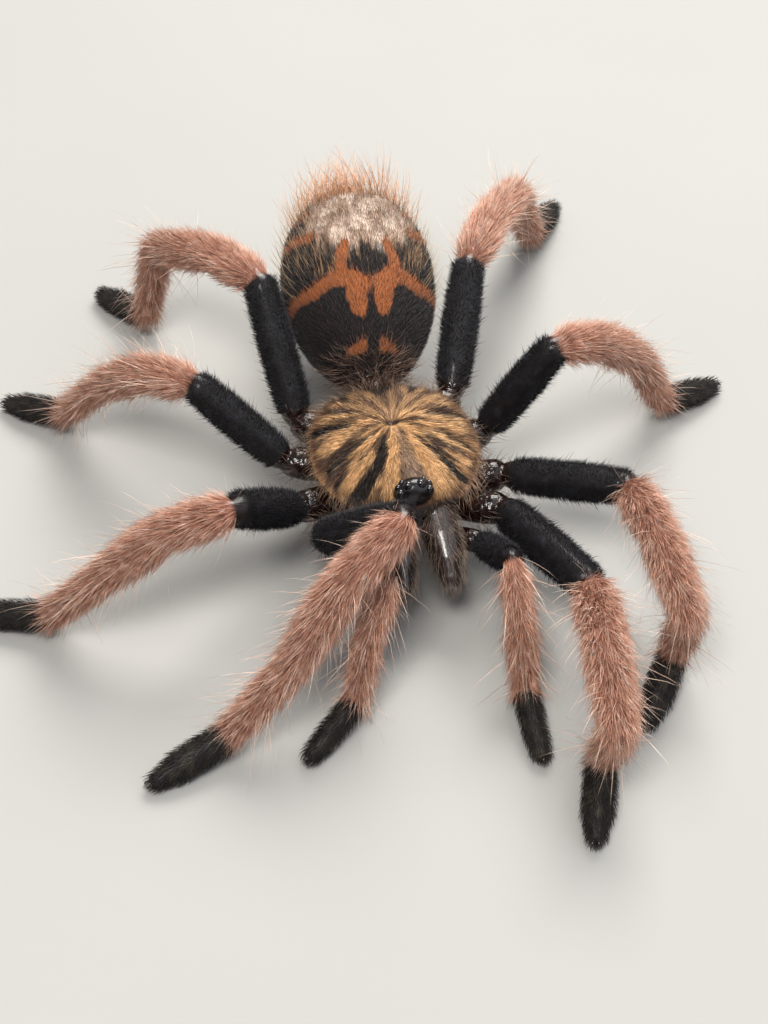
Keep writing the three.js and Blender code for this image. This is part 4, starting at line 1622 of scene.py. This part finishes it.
class SetaNodes:
    """Geometry Nodes that root hairs all over a surface and bend them in soft clumps."""

    FIELDS = {
        "NodeSocketGeometry": ("Surface",),
        "NodeSocketObject": ("Seta",),
        "NodeSocketFloat": (
            "Spacing", "Density", "Patch", "Stray", "Lift", "Spread", "Clump", "Clump size"
        ),
        "NodeSocketInt": ("Seed",),
        "NodeSocketMaterial": ("Finish",),
    }
    BROUGHT = {"FLOAT": ("cover", "tall", "reach"), "FLOAT_VECTOR": ("lie", "OFRoot", "patch")}
    USED_UP = ("patch", "OFRoot", "lie", "cover", "tall")

    def __init__(self) -> None:
        """Builds the tree."""
        self.tree = bpy.data.node_groups.new("setae", "GeometryNodeTree")
        self.sockets: dict[str, str] = {}
        add = self.tree.interface.new_socket
        for kind, names in self.FIELDS.items():
            for name in names:
                self.sockets[name] = add(name, in_out="INPUT", socket_type=kind).identifier
        add("Coat", in_out="OUTPUT", socket_type="NodeSocketGeometry")
        self.given = self.node("NodeGroupInput")
        self.own: dict[str, Socket] = {}  # what the surface and the hair bring
        for kind, names in self.BROUGHT.items():
            for name in names:
                made = self.node("GeometryNodeInputNamedAttribute", {"Name": name}, data_type=kind)
                self.own[name] = made["Attribute"]
        hairs = self.planted(*self.roots())
        coat = self.patched(self.clumped(hairs))
        self.node("NodeGroupOutput", {"Coat": coat})

    def node(self, kind: str, inputs: Inputs | None = None, **settings: object) -> Outputs:
        """The outputs of a new node of the tree."""
        return add_node(self.tree, kind, inputs, **settings)

    def roots(self) -> tuple[Socket, Socket]:
        """Spreads the roots evenly and gives each its own tone.

        Returns:
            The roots and the surface's normals there.
        """
        given = self.given
        inputs = {
            "Mesh": given["Surface"],
            "Distance Min": given["Spacing"],
            "Density Max": given["Density"],
            "Density Factor": self.own["cover"],
            "Seed": given["Seed"],
        }
        kind = "GeometryNodeDistributePointsOnFaces"
        spread = self.node(kind, inputs, distribute_method="POISSON")
        tone = self.node("FunctionNodeRandomValue", {"Seed": given["Seed"]}, data_type="FLOAT")[1]
        inputs = {"Geometry": spread["Points"], "Name": "tone", "Value": tone}
        settings = {"data_type": "FLOAT", "domain": "POINT"}
        toned = self.node("GeometryNodeStoreNamedAttribute", inputs, **settings)[0]
        return toned, spread["Normal"]

    def planted(self, roots: Socket, normals: Socket) -> Socket:
        """Sets a hair on each root, turned to the lie and varied in size and angle.

        Args:
            roots: the points of the roots.
            normals: the surface's normals there.

        Returns:
            The hairs as one mesh.
        """
        node, given = self.node, self.given
        rotation = node("FunctionNodeAlignRotationToVector", {"Vector": normals}, axis="Z")[0]
        inputs = {"Rotation": rotation, "Vector": self.own["lie"]}
        settings = {"axis": "Y", "pivot_axis": "Z"}
        combed = node("FunctionNodeAlignRotationToVector", inputs, **settings)[0]
        high = node("ShaderNodeCombineXYZ", {0: given["Lift"], 2: given["Stray"]})[0]
        low = node("ShaderNodeVectorMath", {0: high, "Scale": -1.0}, operation="SCALE")[0]
        # Each random value has a seed of its own, so that two values of a hair are unlike.
        turn_seed, size_seed = (
            node("ShaderNodeMath", {0: given["Seed"], 1: step}, operation="ADD")[0]
            for step in (1.0, 2.0)
        )
        inputs = {0: low, 1: high, "Seed": turn_seed}
        strayed = node("FunctionNodeRandomValue", inputs, data_type="FLOAT_VECTOR")[0]
        stray = node("FunctionNodeEulerToRotation", {0: strayed})[0]
        inputs = {"Rotation": combed, "Rotate By": stray}
        turned = node("FunctionNodeRotateRotation", inputs, rotation_space="LOCAL")[0]
        small = node("ShaderNodeMath", {0: 1.0, 1: given["Spread"]}, operation="SUBTRACT")[0]
        large = node("ShaderNodeMath", {0: 1.0, 1: given["Spread"]}, operation="ADD")[0]
        inputs = {2: small, 3: large, "Seed": size_seed}
        size = node("FunctionNodeRandomValue", inputs, data_type="FLOAT")[1]
        scale = node("ShaderNodeMath", {0: size, 1: self.own["tall"]}, operation="MULTIPLY")[0]
        inputs = {
            "Points": roots,
            "Instance": node("GeometryNodeObjectInfo", {"Object": given["Seta"]})["Geometry"],
            "Rotation": turned,
            "Scale": scale,
        }
        hairs = node("GeometryNodeInstanceOnPoints", inputs)[0]
        return node("GeometryNodeRealizeInstances", {0: hairs})[0]

    def clumped(self, hairs: Socket) -> Socket:
        """Bends the hairs together in soft clumps, most at their tips.

        Args:
            hairs: the mesh of the hairs.

        Returns:
            The bent mesh.
        """
        node, given = self.node, self.given
        place = node("GeometryNodeInputPosition")[0]
        inputs = {"Vector": place, "Scale": given["Clump size"], "Detail": 1.0}
        inputs = {0: node("ShaderNodeTexNoise", inputs)["Color"], 1: (0.5, 0.5, 0.5)}
        centred = node("ShaderNodeVectorMath", inputs, operation="SUBTRACT")[0]
        reach = self.own["reach"]
        squared = node("ShaderNodeMath", {0: reach, 1: reach}, operation="MULTIPLY")[0]
        amount = node("ShaderNodeMath", {0: squared, 1: given["Clump"]}, operation="MULTIPLY")[0]
        bent = node("ShaderNodeVectorMath", {0: centred, "Scale": amount}, operation="SCALE")[0]
        return node("GeometryNodeSetPosition", {"Geometry": hairs, "Offset": bent})[0]

    def patched(self, hairs: Socket) -> Socket:
        """Gives each hair its patch on the unwrap of the skin, and its finish.

        Args:
            hairs: the mesh of the hairs.

        Returns:
            The finished coat, without the attributes that are used up.
        """
        node, given = self.node, self.given
        inputs = {0: self.own["patch"], "Scale": given["Patch"]}
        patch = node("ShaderNodeVectorMath", inputs, operation="SCALE")[0]
        inputs = {0: self.own["OFRoot"], 1: patch}
        place = node("ShaderNodeVectorMath", inputs, operation="ADD")[0]
        inputs = {"Geometry": hairs, "Name": SKIN_MAP, "Value": place}
        settings = {"data_type": "FLOAT2", "domain": "CORNER"}
        coat = node("GeometryNodeStoreNamedAttribute", inputs, **settings)[0]
        for name in self.USED_UP:
            coat = node("GeometryNodeRemoveAttribute", {"Geometry": coat, "Name": name})[0]
        return node("GeometryNodeSetMaterial", {"Geometry": coat, "Material": given["Finish"]})[0]


Cover = tuple[Array, Array]  # how dense and how long a coat is, for each vertex of a shell


@dataclass(frozen=True)
class Coat:
    """One kind of hair on some zones of the skin.

    Attributes:
        spacing: least distance between roots.
        rule: gives cover and length factor for each vertex of a shell.
        stray: degrees that hairs turn from the lie.
        lift: degrees that they tip up or down.
        spread: how far sizes vary round 1.
        clump: how far tips are drawn together.
        clump_size: distance between clumps.
        kinds: the limbs that it grows on, or None for every form.
    """

    name: str
    seta: Seta
    zones: tuple[Zone, ...]
    spacing: float
    finish: Material
    slot: Slot
    rule: Callable[[Shell], Cover]
    stray: float = 18.0
    lift: float = 8.0
    spread: float = 0.25
    clump: float = 0.12
    clump_size: float = 0.6
    seed: int = 1
    kinds: tuple[LimbKind, ...] | None = None

    def surface(self, shells: list[Shell]) -> Thing:
        """The part of the skin's forms that the coat grows on.

        Args:
            shells: all of the forms.

        Returns:
            Their wanted faces as one object, with its cover and lengths.
        """
        beds = []
        for shell in shells:
            mesh = shell.mesh(self.zones)
            if len(mesh.polygons) == 0 or self.kinds and shell.kind not in self.kinds:
                continue
            for name, values in zip(("cover", "tall"), self.rule(shell)):
                store(mesh, name, flat(values * np.ones(shell.shape)))
            mesh.uv_layers[SKIN_MAP].name = "OFRoot"
            beds.append(new_object("bed", mesh))
        with bpy.context.temp_override(active_object=beds[0], selected_editable_objects=beds):
            if len(beds) > 1:
                bpy.ops.object.join()
        return beds[0]

    def build(self, nodes: SetaNodes, shells: list[Shell]) -> Thing:
        """Grows the coat.

        Args:
            nodes: the tree that roots the hairs.
            shells: the forms that it may grow on.

        Returns:
            The finished piece.
        """
        bed = self.surface(shells)
        hair = self.seta.build(f"{self.name}_seta")
        grow = bed.modifiers.new("setae", "NODES")
        grow.node_group = nodes.tree
        spacing, most_roots = self.spacing * MM, 1.6
        values = {
            "Seta": hair,
            "Spacing": spacing,
            "Density": most_roots / spacing**2,
            "Seed": self.seed,
            "Stray": math.radians(self.stray),
            "Lift": math.radians(self.lift),
            "Spread": self.spread,
            "Clump": self.clump * MM,
            "Clump size": 1 / (self.clump_size * MM),
            "Patch": PATCH,
            "Finish": self.finish,
        }
        for name, value in values.items():
            grow[nodes.sockets[name]] = value
        mesh = evaluated_mesh(bed)
        for thing in (bed, hair):
            bpy.data.objects.remove(thing)
        self.keep_off_floor(mesh)
        return finished(self.name, mesh, [self.finish], self.slot)

    @staticmethod
    def keep_off_floor(mesh: Mesh) -> None:
        """Presses what would go through the floor flat on it.

        Args:
            mesh: the coat's mesh, which is changed.
        """
        places = np.zeros(len(mesh.vertices) * 3, np.float32)
        mesh.vertices.foreach_get("co", places)
        places[2::3] = np.maximum(places[2::3], JUST_OFF_FLOOR * MM)
        mesh.vertices.foreach_set("co", places)
        mesh.update()


class CoatRules:
    """Where each coat grows and how long it is there, for each vertex of a shell."""

    @staticmethod
    def off_joints(shell: Shell) -> Array:
        """1 on a limb and 0 on the small bare spot on top of its knee."""
        near, high = shell.mark[..., 0], shell.mark[..., 2]
        return 1 - smoothstep(0.5, 0.8, near) * smoothstep(0.75, 0.95, high)

    @classmethod
    def limb(cls, shell: Shell) -> Cover:
        """Even cover, shorter beside the joints."""
        return cls.off_joints(shell), 0.55 + 0.45 * smoothstep(0.5, 0.05, shell.mark[..., 0])

    @classmethod
    def bristles(cls, shell: Shell) -> Cover:
        """Long hairs, thicker on the upper side and shorter round a high knee."""
        cover = cls.off_joints(shell) * (0.45 + 0.55 * smoothstep(-0.6, 0.7, shell.mark[..., 2]))
        return cover, 1 - 0.55 * smoothstep(7.0, 9.3, shell.rings[..., 2])

    @staticmethod
    def carapace(shell: Shell) -> Cover:
        """The felt: shorter at the pit, in the grooves and at the rim.

        Args:
            shell: the carapace.

        Returns:
            Its cover and lengths.
        """
        groove = smoothstep(-0.05, 0.1, shell.mark[..., 0])
        cover = (1 - 0.25 * groove) * smoothstep(0.999, 0.98, shell.edge)
        tall = 0.4 + 0.6 * smoothstep(0.1, 1.6, shell.spot[..., 0])
        return cover, tall * (1 - 0.45 * smoothstep(0.8, 0.97, shell.edge))

    @staticmethod
    def carapace_rim(shell: Shell) -> Cover:
        """A fringe along the rim alone, longer behind and at the front corners.

        Args:
            shell: the carapace.

        Returns:
            Its cover and lengths.
        """
        across, along = np.abs(shell.rings[..., 0]), shell.rings[..., 1]
        rear = smoothstep(1.5, 4.0, along)
        corner = smoothstep(1.4, 2.8, across) * smoothstep(-0.8, -2.6, along)
        front = smoothstep(-3.1, -3.8, along) * smoothstep(2.7, 1.9, across)
        cover = smoothstep(0.86, 0.97, shell.edge) * (0.6 + 0.4 * np.maximum(rear, corner))
        return cover * (1 - 0.85 * front), 0.75 + 0.2 * rear + 0.35 * corner

    @staticmethod
    def abdomen(shell: Shell) -> Cover:
        """Even velvet, longer behind but not on the pale patch."""
        pale = smoothstep(-0.1, 0.3, shell.mark[..., 1])
        return np.ones_like(pale), 0.85 + 0.5 * smoothstep(0.0, 0.8, shell.edge) * (1 - pale)

    @staticmethod
    def abdomen_long(shell: Shell) -> Cover:
        """Long hairs from behind the first band to the rear and down the sides.

        Args:
            shell: the abdomen.

        Returns:
            Its cover and lengths.
        """
        share = shell.edge
        off_patch = 1 - 0.8 * smoothstep(-0.1, 0.4, shell.mark[..., 1])
        side = smoothstep(-0.75, -0.5, share) * smoothstep(1.0, -1.0, shell.spot[..., 2])
        cover = np.maximum(smoothstep(-0.42, -0.2, share) * off_patch, 0.25 * side)
        return cover, 0.7 + 0.5 * smoothstep(0.0, 0.9, share)

    @staticmethod
    def abdomen_tufts(shell: Shell) -> Cover:
        """Dense tufts round the rear end, fewer on the pale patch."""
        cover = smoothstep(0.45, 0.8, shell.edge) * (1 - 0.8 * smoothstep(0.1, 0.6, shell.mark[..., 1]))
        return cover, 0.65 + 0.45 * smoothstep(0.5, 0.95, shell.edge)

    @staticmethod
    def waist(shell: Shell) -> Cover:
        """Long hair round the stalk and on the abdomen's front end.

        Args:
            shell: any form.

        Returns:
            Its cover, 0 on the other forms, and lengths.
        """
        if shell.name == "abdomen":
            front = smoothstep(0.8, 0.93, -shell.edge)
            return front, 0.55 + 0.45 * front
        ones = np.ones(shell.shape)
        return ones * (shell.name == "pedicel"), ones

    @staticmethod
    def coxa(shell: Shell) -> Cover:
        """Sparse hair on the bare joints next to the body."""
        share = 0.3 if shell.name == "pedicel" else 0.6
        return np.full(shell.shape, share), np.ones(shell.shape)

    @staticmethod
    def even(shell: Shell) -> Cover:
        """The same everywhere."""
        return np.ones(shell.shape), np.ones(shell.shape)


# ---- hard parts
@dataclass
class EyeTurret:
    """The low mound with its eight eyes.

    Attributes:
        eyes: x, y, z and radius of the left eyes, from its middle.
        collar: how much wider than its eye each raised collar is.
        collar_sink: how far the collar lies under its eye.
    """

    place: Triple = (0.0, -3.8, 6.22)
    size: Triple = (0.97, 0.62, 0.74)
    eyes: tuple[tuple[float, float, float, float], ...] = (
        (0.3, -0.12, 0.6, 0.22),
        (0.69, -0.27, 0.32, 0.19),
        (0.73, 0.06, 0.37, 0.16),
        (0.52, 0.25, 0.47, 0.14),
    )
    collar: float = 1.16
    collar_sink: float = 0.06
    mound_grid: Grid = (24, 40)
    lens_grid: Grid = (16, 24)
    collar_grid: Grid = (10, 18)

    def ball(self, size: Triple, place: Triple, grid: Grid) -> Form:
        """A closed ellipsoid, from its half sizes, its middle and its rows and columns."""
        rings = ellipsoid(size, place, grid)
        return flat(rings), [face[::-1] for face in ring_faces(*rings.shape[:2])]

    def build(self, palette: Palette) -> list[Thing]:
        """Makes the mound and the eyes.

        Args:
            palette: the finishes.

        Returns:
            The two pieces.
        """
        x, y, z = self.place
        lenses, mounds = [], [self.ball(self.size, self.place, self.mound_grid)]
        for ex, ey, ez, radius in self.eyes:
            wide = radius * self.collar
            for side in Side:
                spot = (x + side.value * ex, y + ey, z + ez)
                low = (*spot[:2], spot[2] - self.collar_sink)
                lenses.append(self.ball((radius,) * 3, spot, self.lens_grid))
                mounds.append(self.ball((wide, wide, radius), low, self.collar_grid))
        mound = hard_piece("eye_mound", mounds, palette.mound, Slot.EYE)
        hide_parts("eye_turret")
        return [mound, hard_piece("eyes", lenses, palette.eye, Slot.EYE)]


@dataclass
class Points:
    """The fangs and the claws: curved, tapered and hard.

    Attributes:
        taper: the power of their taper, smaller for a fuller middle.
        fang_sink: how deep a fang's root lies in the jaw's tip.
        fang_toward: the way that it curls to.
        fang_curl: degrees that it turns on its way.
        claw_place: a claw's root ahead of, beside and over the middle of the toe.
        claw_way: how far it points aside and up for each millimetre ahead.
    """

    rows: int = 14
    columns: int = 12
    taper: float = 0.75
    fang_length: float = 2.4
    fang_radius: float = 0.31
    fang_sink: float = 0.25
    fang_pitch: float = -75.0
    fang_toward: Triple = (0, 1.0, -0.3)
    fang_curl: float = 50.0
    claw_length: float = 0.42
    claw_radius: float = 0.06
    claw_place: Triple = (0.32, 0.1, 0.16)
    claw_way: Pair = (0.25, 0.3)
    claw_curl: float = 85.0

    def horn(self, start: Array, way: Array, toward: Array, sizes: Triple) -> Form:
        """A curved horn.

        Args:
            start: the middle of its root.
            way: its direction there.
            toward: the direction that it curls to.
            sizes: its length, its radius at its root and the degrees that it turns.

        Returns:
            Places and faces of a closed form.
        """
        length, radius, curl = sizes
        rows, columns = self.rows, self.columns
        way = unit(way)
        toward = unit(toward - (toward @ way) * way)
        sideways = np.cross(way, toward)
        spot, points = np.array(start, float), []
        cos, sin = np.cos(turns(columns))[:, None], np.sin(turns(columns))[:, None]
        for i in range(rows):
            share = i / rows
            bend = math.radians(curl * share)
            ahead = math.cos(bend) * way + math.sin(bend) * toward
            up = math.cos(bend) * toward - math.sin(bend) * way
            points.append(spot + radius * (1 - share) ** self.taper * (cos * sideways + sin * up))
            spot = spot + ahead * length / rows
        points = np.concatenate([[start], *points, [spot]])
        faces = ring_faces(rows + 2, columns)
        return points, faces if outwards(points, faces) else [face[::-1] for face in faces]

    def fang(self, trunk: Trunk, side: Side) -> Form:
        """One fang, folded back under its jaw.

        Args:
            trunk: gives the jaw that it hangs from.
            side: the side that it is on.

        Returns:
            Its places and faces.
        """
        root, way = trunk.jaw_line(side)
        tip = root + way * (trunk.jaw_length - self.fang_sink)
        down = heading_vector(side, 0, self.fang_pitch)
        sizes = (self.fang_length, self.fang_radius, self.fang_curl)
        return self.horn(tip, down, np.array(self.fang_toward), sizes)

    def claws(self, limb: Limb) -> list[Form]:
        """The claws of a foot: two on a leg and one on a palp.

        Args:
            limb: the limb that they end.

        Returns:
            The places and faces of each.
        """
        heel, toe = limb.joints()[-2:]
        way = unit(toe - heel)
        sideways = unit(np.cross(way, UP))
        (before, beside, over), (aside, lift) = self.claw_place, self.claw_way
        sizes = (self.claw_length, self.claw_radius, self.claw_curl)
        forms = []
        for lean in (0,) if limb.is_palp else (-1, 1):
            start = toe + before * way + beside * lean * sideways + over * UP
            ahead = way + aside * lean * sideways + lift * UP
            forms.append(self.horn(start, ahead, -UP, sizes))
        return forms

    def build(self, trunk: Trunk, limbs: list[Limb], palette: Palette) -> list[Thing]:
        """Makes both fangs and the claws of every foot.

        Args:
            trunk: gives the jaws that the fangs hang from.
            limbs: the limbs that have claws.
            palette: the finishes.

        Returns:
            The two pieces.
        """
        horns = [self.fang(trunk, side) for side in Side]
        fangs = hard_piece("fangs", horns, palette.fang, Slot.FANG)
        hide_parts("fang_left", "fang_right")
        horns = [claw for limb in limbs for claw in self.claws(limb)]
        return [fangs, hard_piece("claws", horns, palette.fang, Slot.FANG)]


# ---- studio
@dataclass(frozen=True)
class Lamp:
    """A square soft light that faces the animal."""

    name: str
    azimuth: float
    elevation: float
    size: float
    energy: float
    colour: str
    distance: float = 0.25

    def build(self) -> None:
        """Places the light; its size and distance are in metres."""
        _, _, way = directions(self.azimuth, self.elevation)
        data = bpy.data.lights.new(self.name, "AREA")
        data.shape, data.size, data.energy = "SQUARE", self.size, self.energy
        data.color = linear(self.colour)[:3]
        thing = bpy.data.objects.new(self.name, data)
        thing.location = way * self.distance
        thing.rotation_euler = way.to_track_quat("Z", "Y").to_euler()
        bpy.context.scene.collection.objects.link(thing)


def directions(azimuth: float, elevation: float) -> tuple[Vector, Vector, Vector]:
    """The axes of something that looks at the animal.

    Args:
        azimuth: degrees round it from straight ahead.
        elevation: degrees over the floor.

    Returns:
        Its right, its up and the way from the animal to it.
    """
    a, e = math.radians(azimuth), math.radians(elevation)
    right = Vector((math.cos(a), math.sin(a), 0))
    up = Vector((-math.sin(a) * math.sin(e), math.cos(a) * math.sin(e), math.cos(e)))
    back = Vector((math.sin(a) * math.cos(e), -math.cos(a) * math.cos(e), math.sin(e)))
    return right, up, back


@dataclass
class Studio:
    """The camera, the pale floor and the soft light.

    Attributes:
        aside: how far right of the animal's middle the camera looks.
        over: how far over it the camera looks.
        focal_pixels: the lens's focal length in pixels of the image.
        near: the nearest distance that the camera sees, in metres.
        far: the farthest, in metres.
        floor: half the floor's side.
    """

    azimuth: float = -13.0
    elevation: float = 46.0
    distance: float = 100.0
    aside: float = -0.53
    over: float = -2.9
    focal_pixels: float = 2070.0
    image_height: float = 1024.0
    middle_z: float = 5.2
    near: float = 0.005
    far: float = 20.0
    floor: float = 3000.0
    sky: str = "#DCE0E4"
    sky_strength: float = 0.4
    lamps: tuple[Lamp, ...] = (
        Lamp("key", -30, 62, 0.08, 0.5, "#FFFBF6"),
        Lamp("fill", 55, 45, 0.3, 0.25, "#F2F6FF"),
        Lamp("back", 150, 52, 0.15, 0.85, "#FFFCF6"),
    )

    def camera(self) -> None:
        """Places the camera."""
        right, up, back = directions(self.azimuth, self.elevation)
        middle = Vector((SHIFT[0], SHIFT[1], self.middle_z))
        target = middle + self.aside * right + self.over * up
        data = bpy.data.cameras.new("camera")
        data.sensor_fit = "VERTICAL"
        data.angle = 2 * math.atan(self.image_height / 2 / self.focal_pixels)
        data.clip_start, data.clip_end = self.near, self.far
        thing = bpy.data.objects.new("camera", data)
        turn = Matrix((right, up, back)).transposed().to_4x4()
        turn.translation = (target + self.distance * back) * MM
        thing.matrix_world = turn
        bpy.context.scene.collection.objects.link(thing)
        bpy.context.scene.camera = thing

    def build(self) -> None:
        """Sets up the floor, the lights and the surrounding light."""
        corners = np.array([(-1, -1, 0), (1, -1, 0), (1, 1, 0), (-1, 1, 0)]) * self.floor
        floor = new_object("floor", make_mesh("floor", corners, [[0, 1, 2, 3]]))
        # Matt art paper, pressed: a pale even grey with clouds of 30 mm and no gloss.
        paper = Cuticle("matt_paper", "#A4A3A0", {"Roughness": 0.9, "Specular IOR Level": 0.1})
        paper.layer("#AAA9A6", paper.grain(30.0))
        floor.data.materials.append(paper.done())
        for lamp in self.lamps:
            lamp.build()
        world = bpy.data.worlds.new("studio")
        world.use_nodes = True
        sky = world.node_tree.nodes["Background"]
        sky.inputs["Color"].default_value = linear(self.sky)
        sky.inputs["Strength"].default_value = self.sky_strength
        bpy.context.scene.world = world
        bpy.context.scene.view_settings.view_transform = "Standard"


# ---- the whole animal
class Tarantula:
    """The animal: skin, eyes, fangs, claws and coats."""

    def __init__(self) -> None:
        """Lays out the forms."""
        self.palette = Palette()
        abdomen = Abdomen()
        self.trunk = Trunk(abdomen)
        self.limbs = [Limb(kind, side) for kind in LimbKind for side in Side]
        self.shells = [Carapace().shell(), abdomen.shell(), *self.trunk.shells()]
        self.shells += [limb.shell() for limb in self.limbs]

    def skin(self) -> Thing:
        """Joins the skin and hides the frame's nodes that it stands for.

        Returns:
            The piece.
        """
        nodes = ["carapace", "sternum", "pedicel", "abdomen"]
        for side in Side:
            nodes += [f"chelicera_{side.word}", f"spinneret_{side.word}"]
        for limb in self.limbs:
            nodes += limb.nodes()
        return Skin(self.shells, self.palette).build(nodes)

    def coats(self) -> list[Coat]:
        """Every kind of hair, with where and how it grows.

        Returns:
            The coats.
        """
        p, rules = self.palette, CoatRules
        femur, shank, foot = (Zone.FEMUR,), (Zone.SHANK,), (Zone.FOOT,)
        carapace, abdomen, coxa = (Zone.CARAPACE,), (Zone.ABDOMEN,), (Zone.COXA,)
        velvet = (0.062, p.femur_hair, Slot.FEMUR, rules.limb)
        fringe = (0.24, p.femur_hair, Slot.FEMUR, rules.limb)
        scopula = (0.085, p.foot_hair, Slot.FOOT, rules.limb)
        bristles = (0.34, p.bristle, Slot.LEG, rules.bristles)
        halo = (0.19, p.bristle, Slot.LEG, rules.bristles)
        down = (0.052, p.carapace_hair, Slot.CARAPACE, rules.carapace, 18, 9, 0.25, 0.2, 0.5)
        rim = (0.085, p.rim_hair, Slot.CARAPACE, rules.carapace_rim, 35, 22, 0.45)
        nap = (0.087, p.abdomen_hair, Slot.ABDOMEN, rules.abdomen, 22, 12, 0.25, 0.16)
        long = (0.3, p.long_hair, Slot.ABDOMEN, rules.abdomen_long, 18, 14, 0.4)
        tufts = (0.155, p.tuft_hair, Slot.ABDOMEN, rules.abdomen_tufts, 35, 20, 0.4, 0.7, 1.2)
        roots = (0.19, p.grey_hair, Slot.CUTICLE, rules.coxa, 40, 18, 0.4)
        waist = (0.12, p.waist_hair, Slot.ABDOMEN, rules.waist, 55, 25, 0.45)
        jaw = (0.14, p.grey_hair, Slot.CUTICLE, rules.even, 20)
        fuzz = (0.062, p.shank_hair, Slot.LEG, rules.limb, 17, 12, 0.4, 0.2, 0.55)
        coats = [
            Coat("femur_velvet", Seta(0.28, 0.045, 62, 10, 0), femur, *velvet, seed=3),
            Coat("femur_fringe", Seta(0.55, 0.024, 62, 18), femur, *fringe, 24, 14, 0.4, seed=4),
            Coat("foot_scopula", Seta(0.48, 0.036, 42, 24), foot, *scopula, seed=5),
            Coat("shank_bristles", Seta(2.2, 0.024, 58, 24, 2), shank, *bristles, 28, 18, 0.5, seed=6),
            Coat("shank_halo", Seta(1.3, 0.02, 50, 22), shank, *halo, 32, 20, 0.4, seed=15),
            Coat("carapace_down", Seta(0.62, 0.038, 22, 16), carapace, *down, seed=7),
            Coat("carapace_fringe", Seta(0.92, 0.026, 30, 12), carapace, *rim, seed=8),
            Coat("abdomen_velvet", Seta(0.42, 0.045, 34, 16), abdomen, *nap, seed=9),
            Coat("abdomen_setae", Seta(1.8, 0.03, 40, 20, 2), abdomen, *long, seed=10),
            Coat("abdomen_tufts", Seta(2.8, 0.038, 60, 28, 2), abdomen, *tufts, seed=11),
            Coat("coxa_hair", Seta(0.85, 0.024, 55, 20), coxa, *roots, seed=12),
            Coat("waist_hair", Seta(1.25, 0.026, 52, 48, 2), coxa + abdomen, *waist, seed=14),
            Coat("jaw_hair", Seta(0.7, 0.024, 38, 20), (Zone.JAW,), *jaw, seed=13),
        ]
        # The fuzz is in four pieces, to keep each one light.
        for i, kinds in enumerate(((PALP, LEG1), (LEG2,), (LEG3,), (LEG4,)), start=1):
            name, seta = f"shank_fuzz_legs{i}", Seta(0.92, 0.028, 35, 21)
            coats.append(Coat(name, seta, shank, *fuzz, seed=19 + i, kinds=kinds))
        return coats

    def build(self) -> Iterator[Thing]:
        """Makes every piece.

        Returns:
            The pieces, one by one as they are made.
        """
        yield self.skin()
        yield from EyeTurret().build(self.palette)
        yield from Points().build(self.trunk, self.limbs, self.palette)
        nodes = SetaNodes()
        for coat in self.coats():
            yield coat.build(nodes, self.shells)


def main() -> None:
    """Builds the camera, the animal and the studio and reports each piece."""
    logging.basicConfig(level=logging.INFO, format="%(message)s", stream=sys.stdout)
    studio = Studio()
    studio.camera()
    for piece in Tarantula().build():
        LOG.info("%s: %d faces", piece.name, len(piece.data.polygons))
    studio.build()
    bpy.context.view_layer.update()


if __name__ == "__main__":
    main()
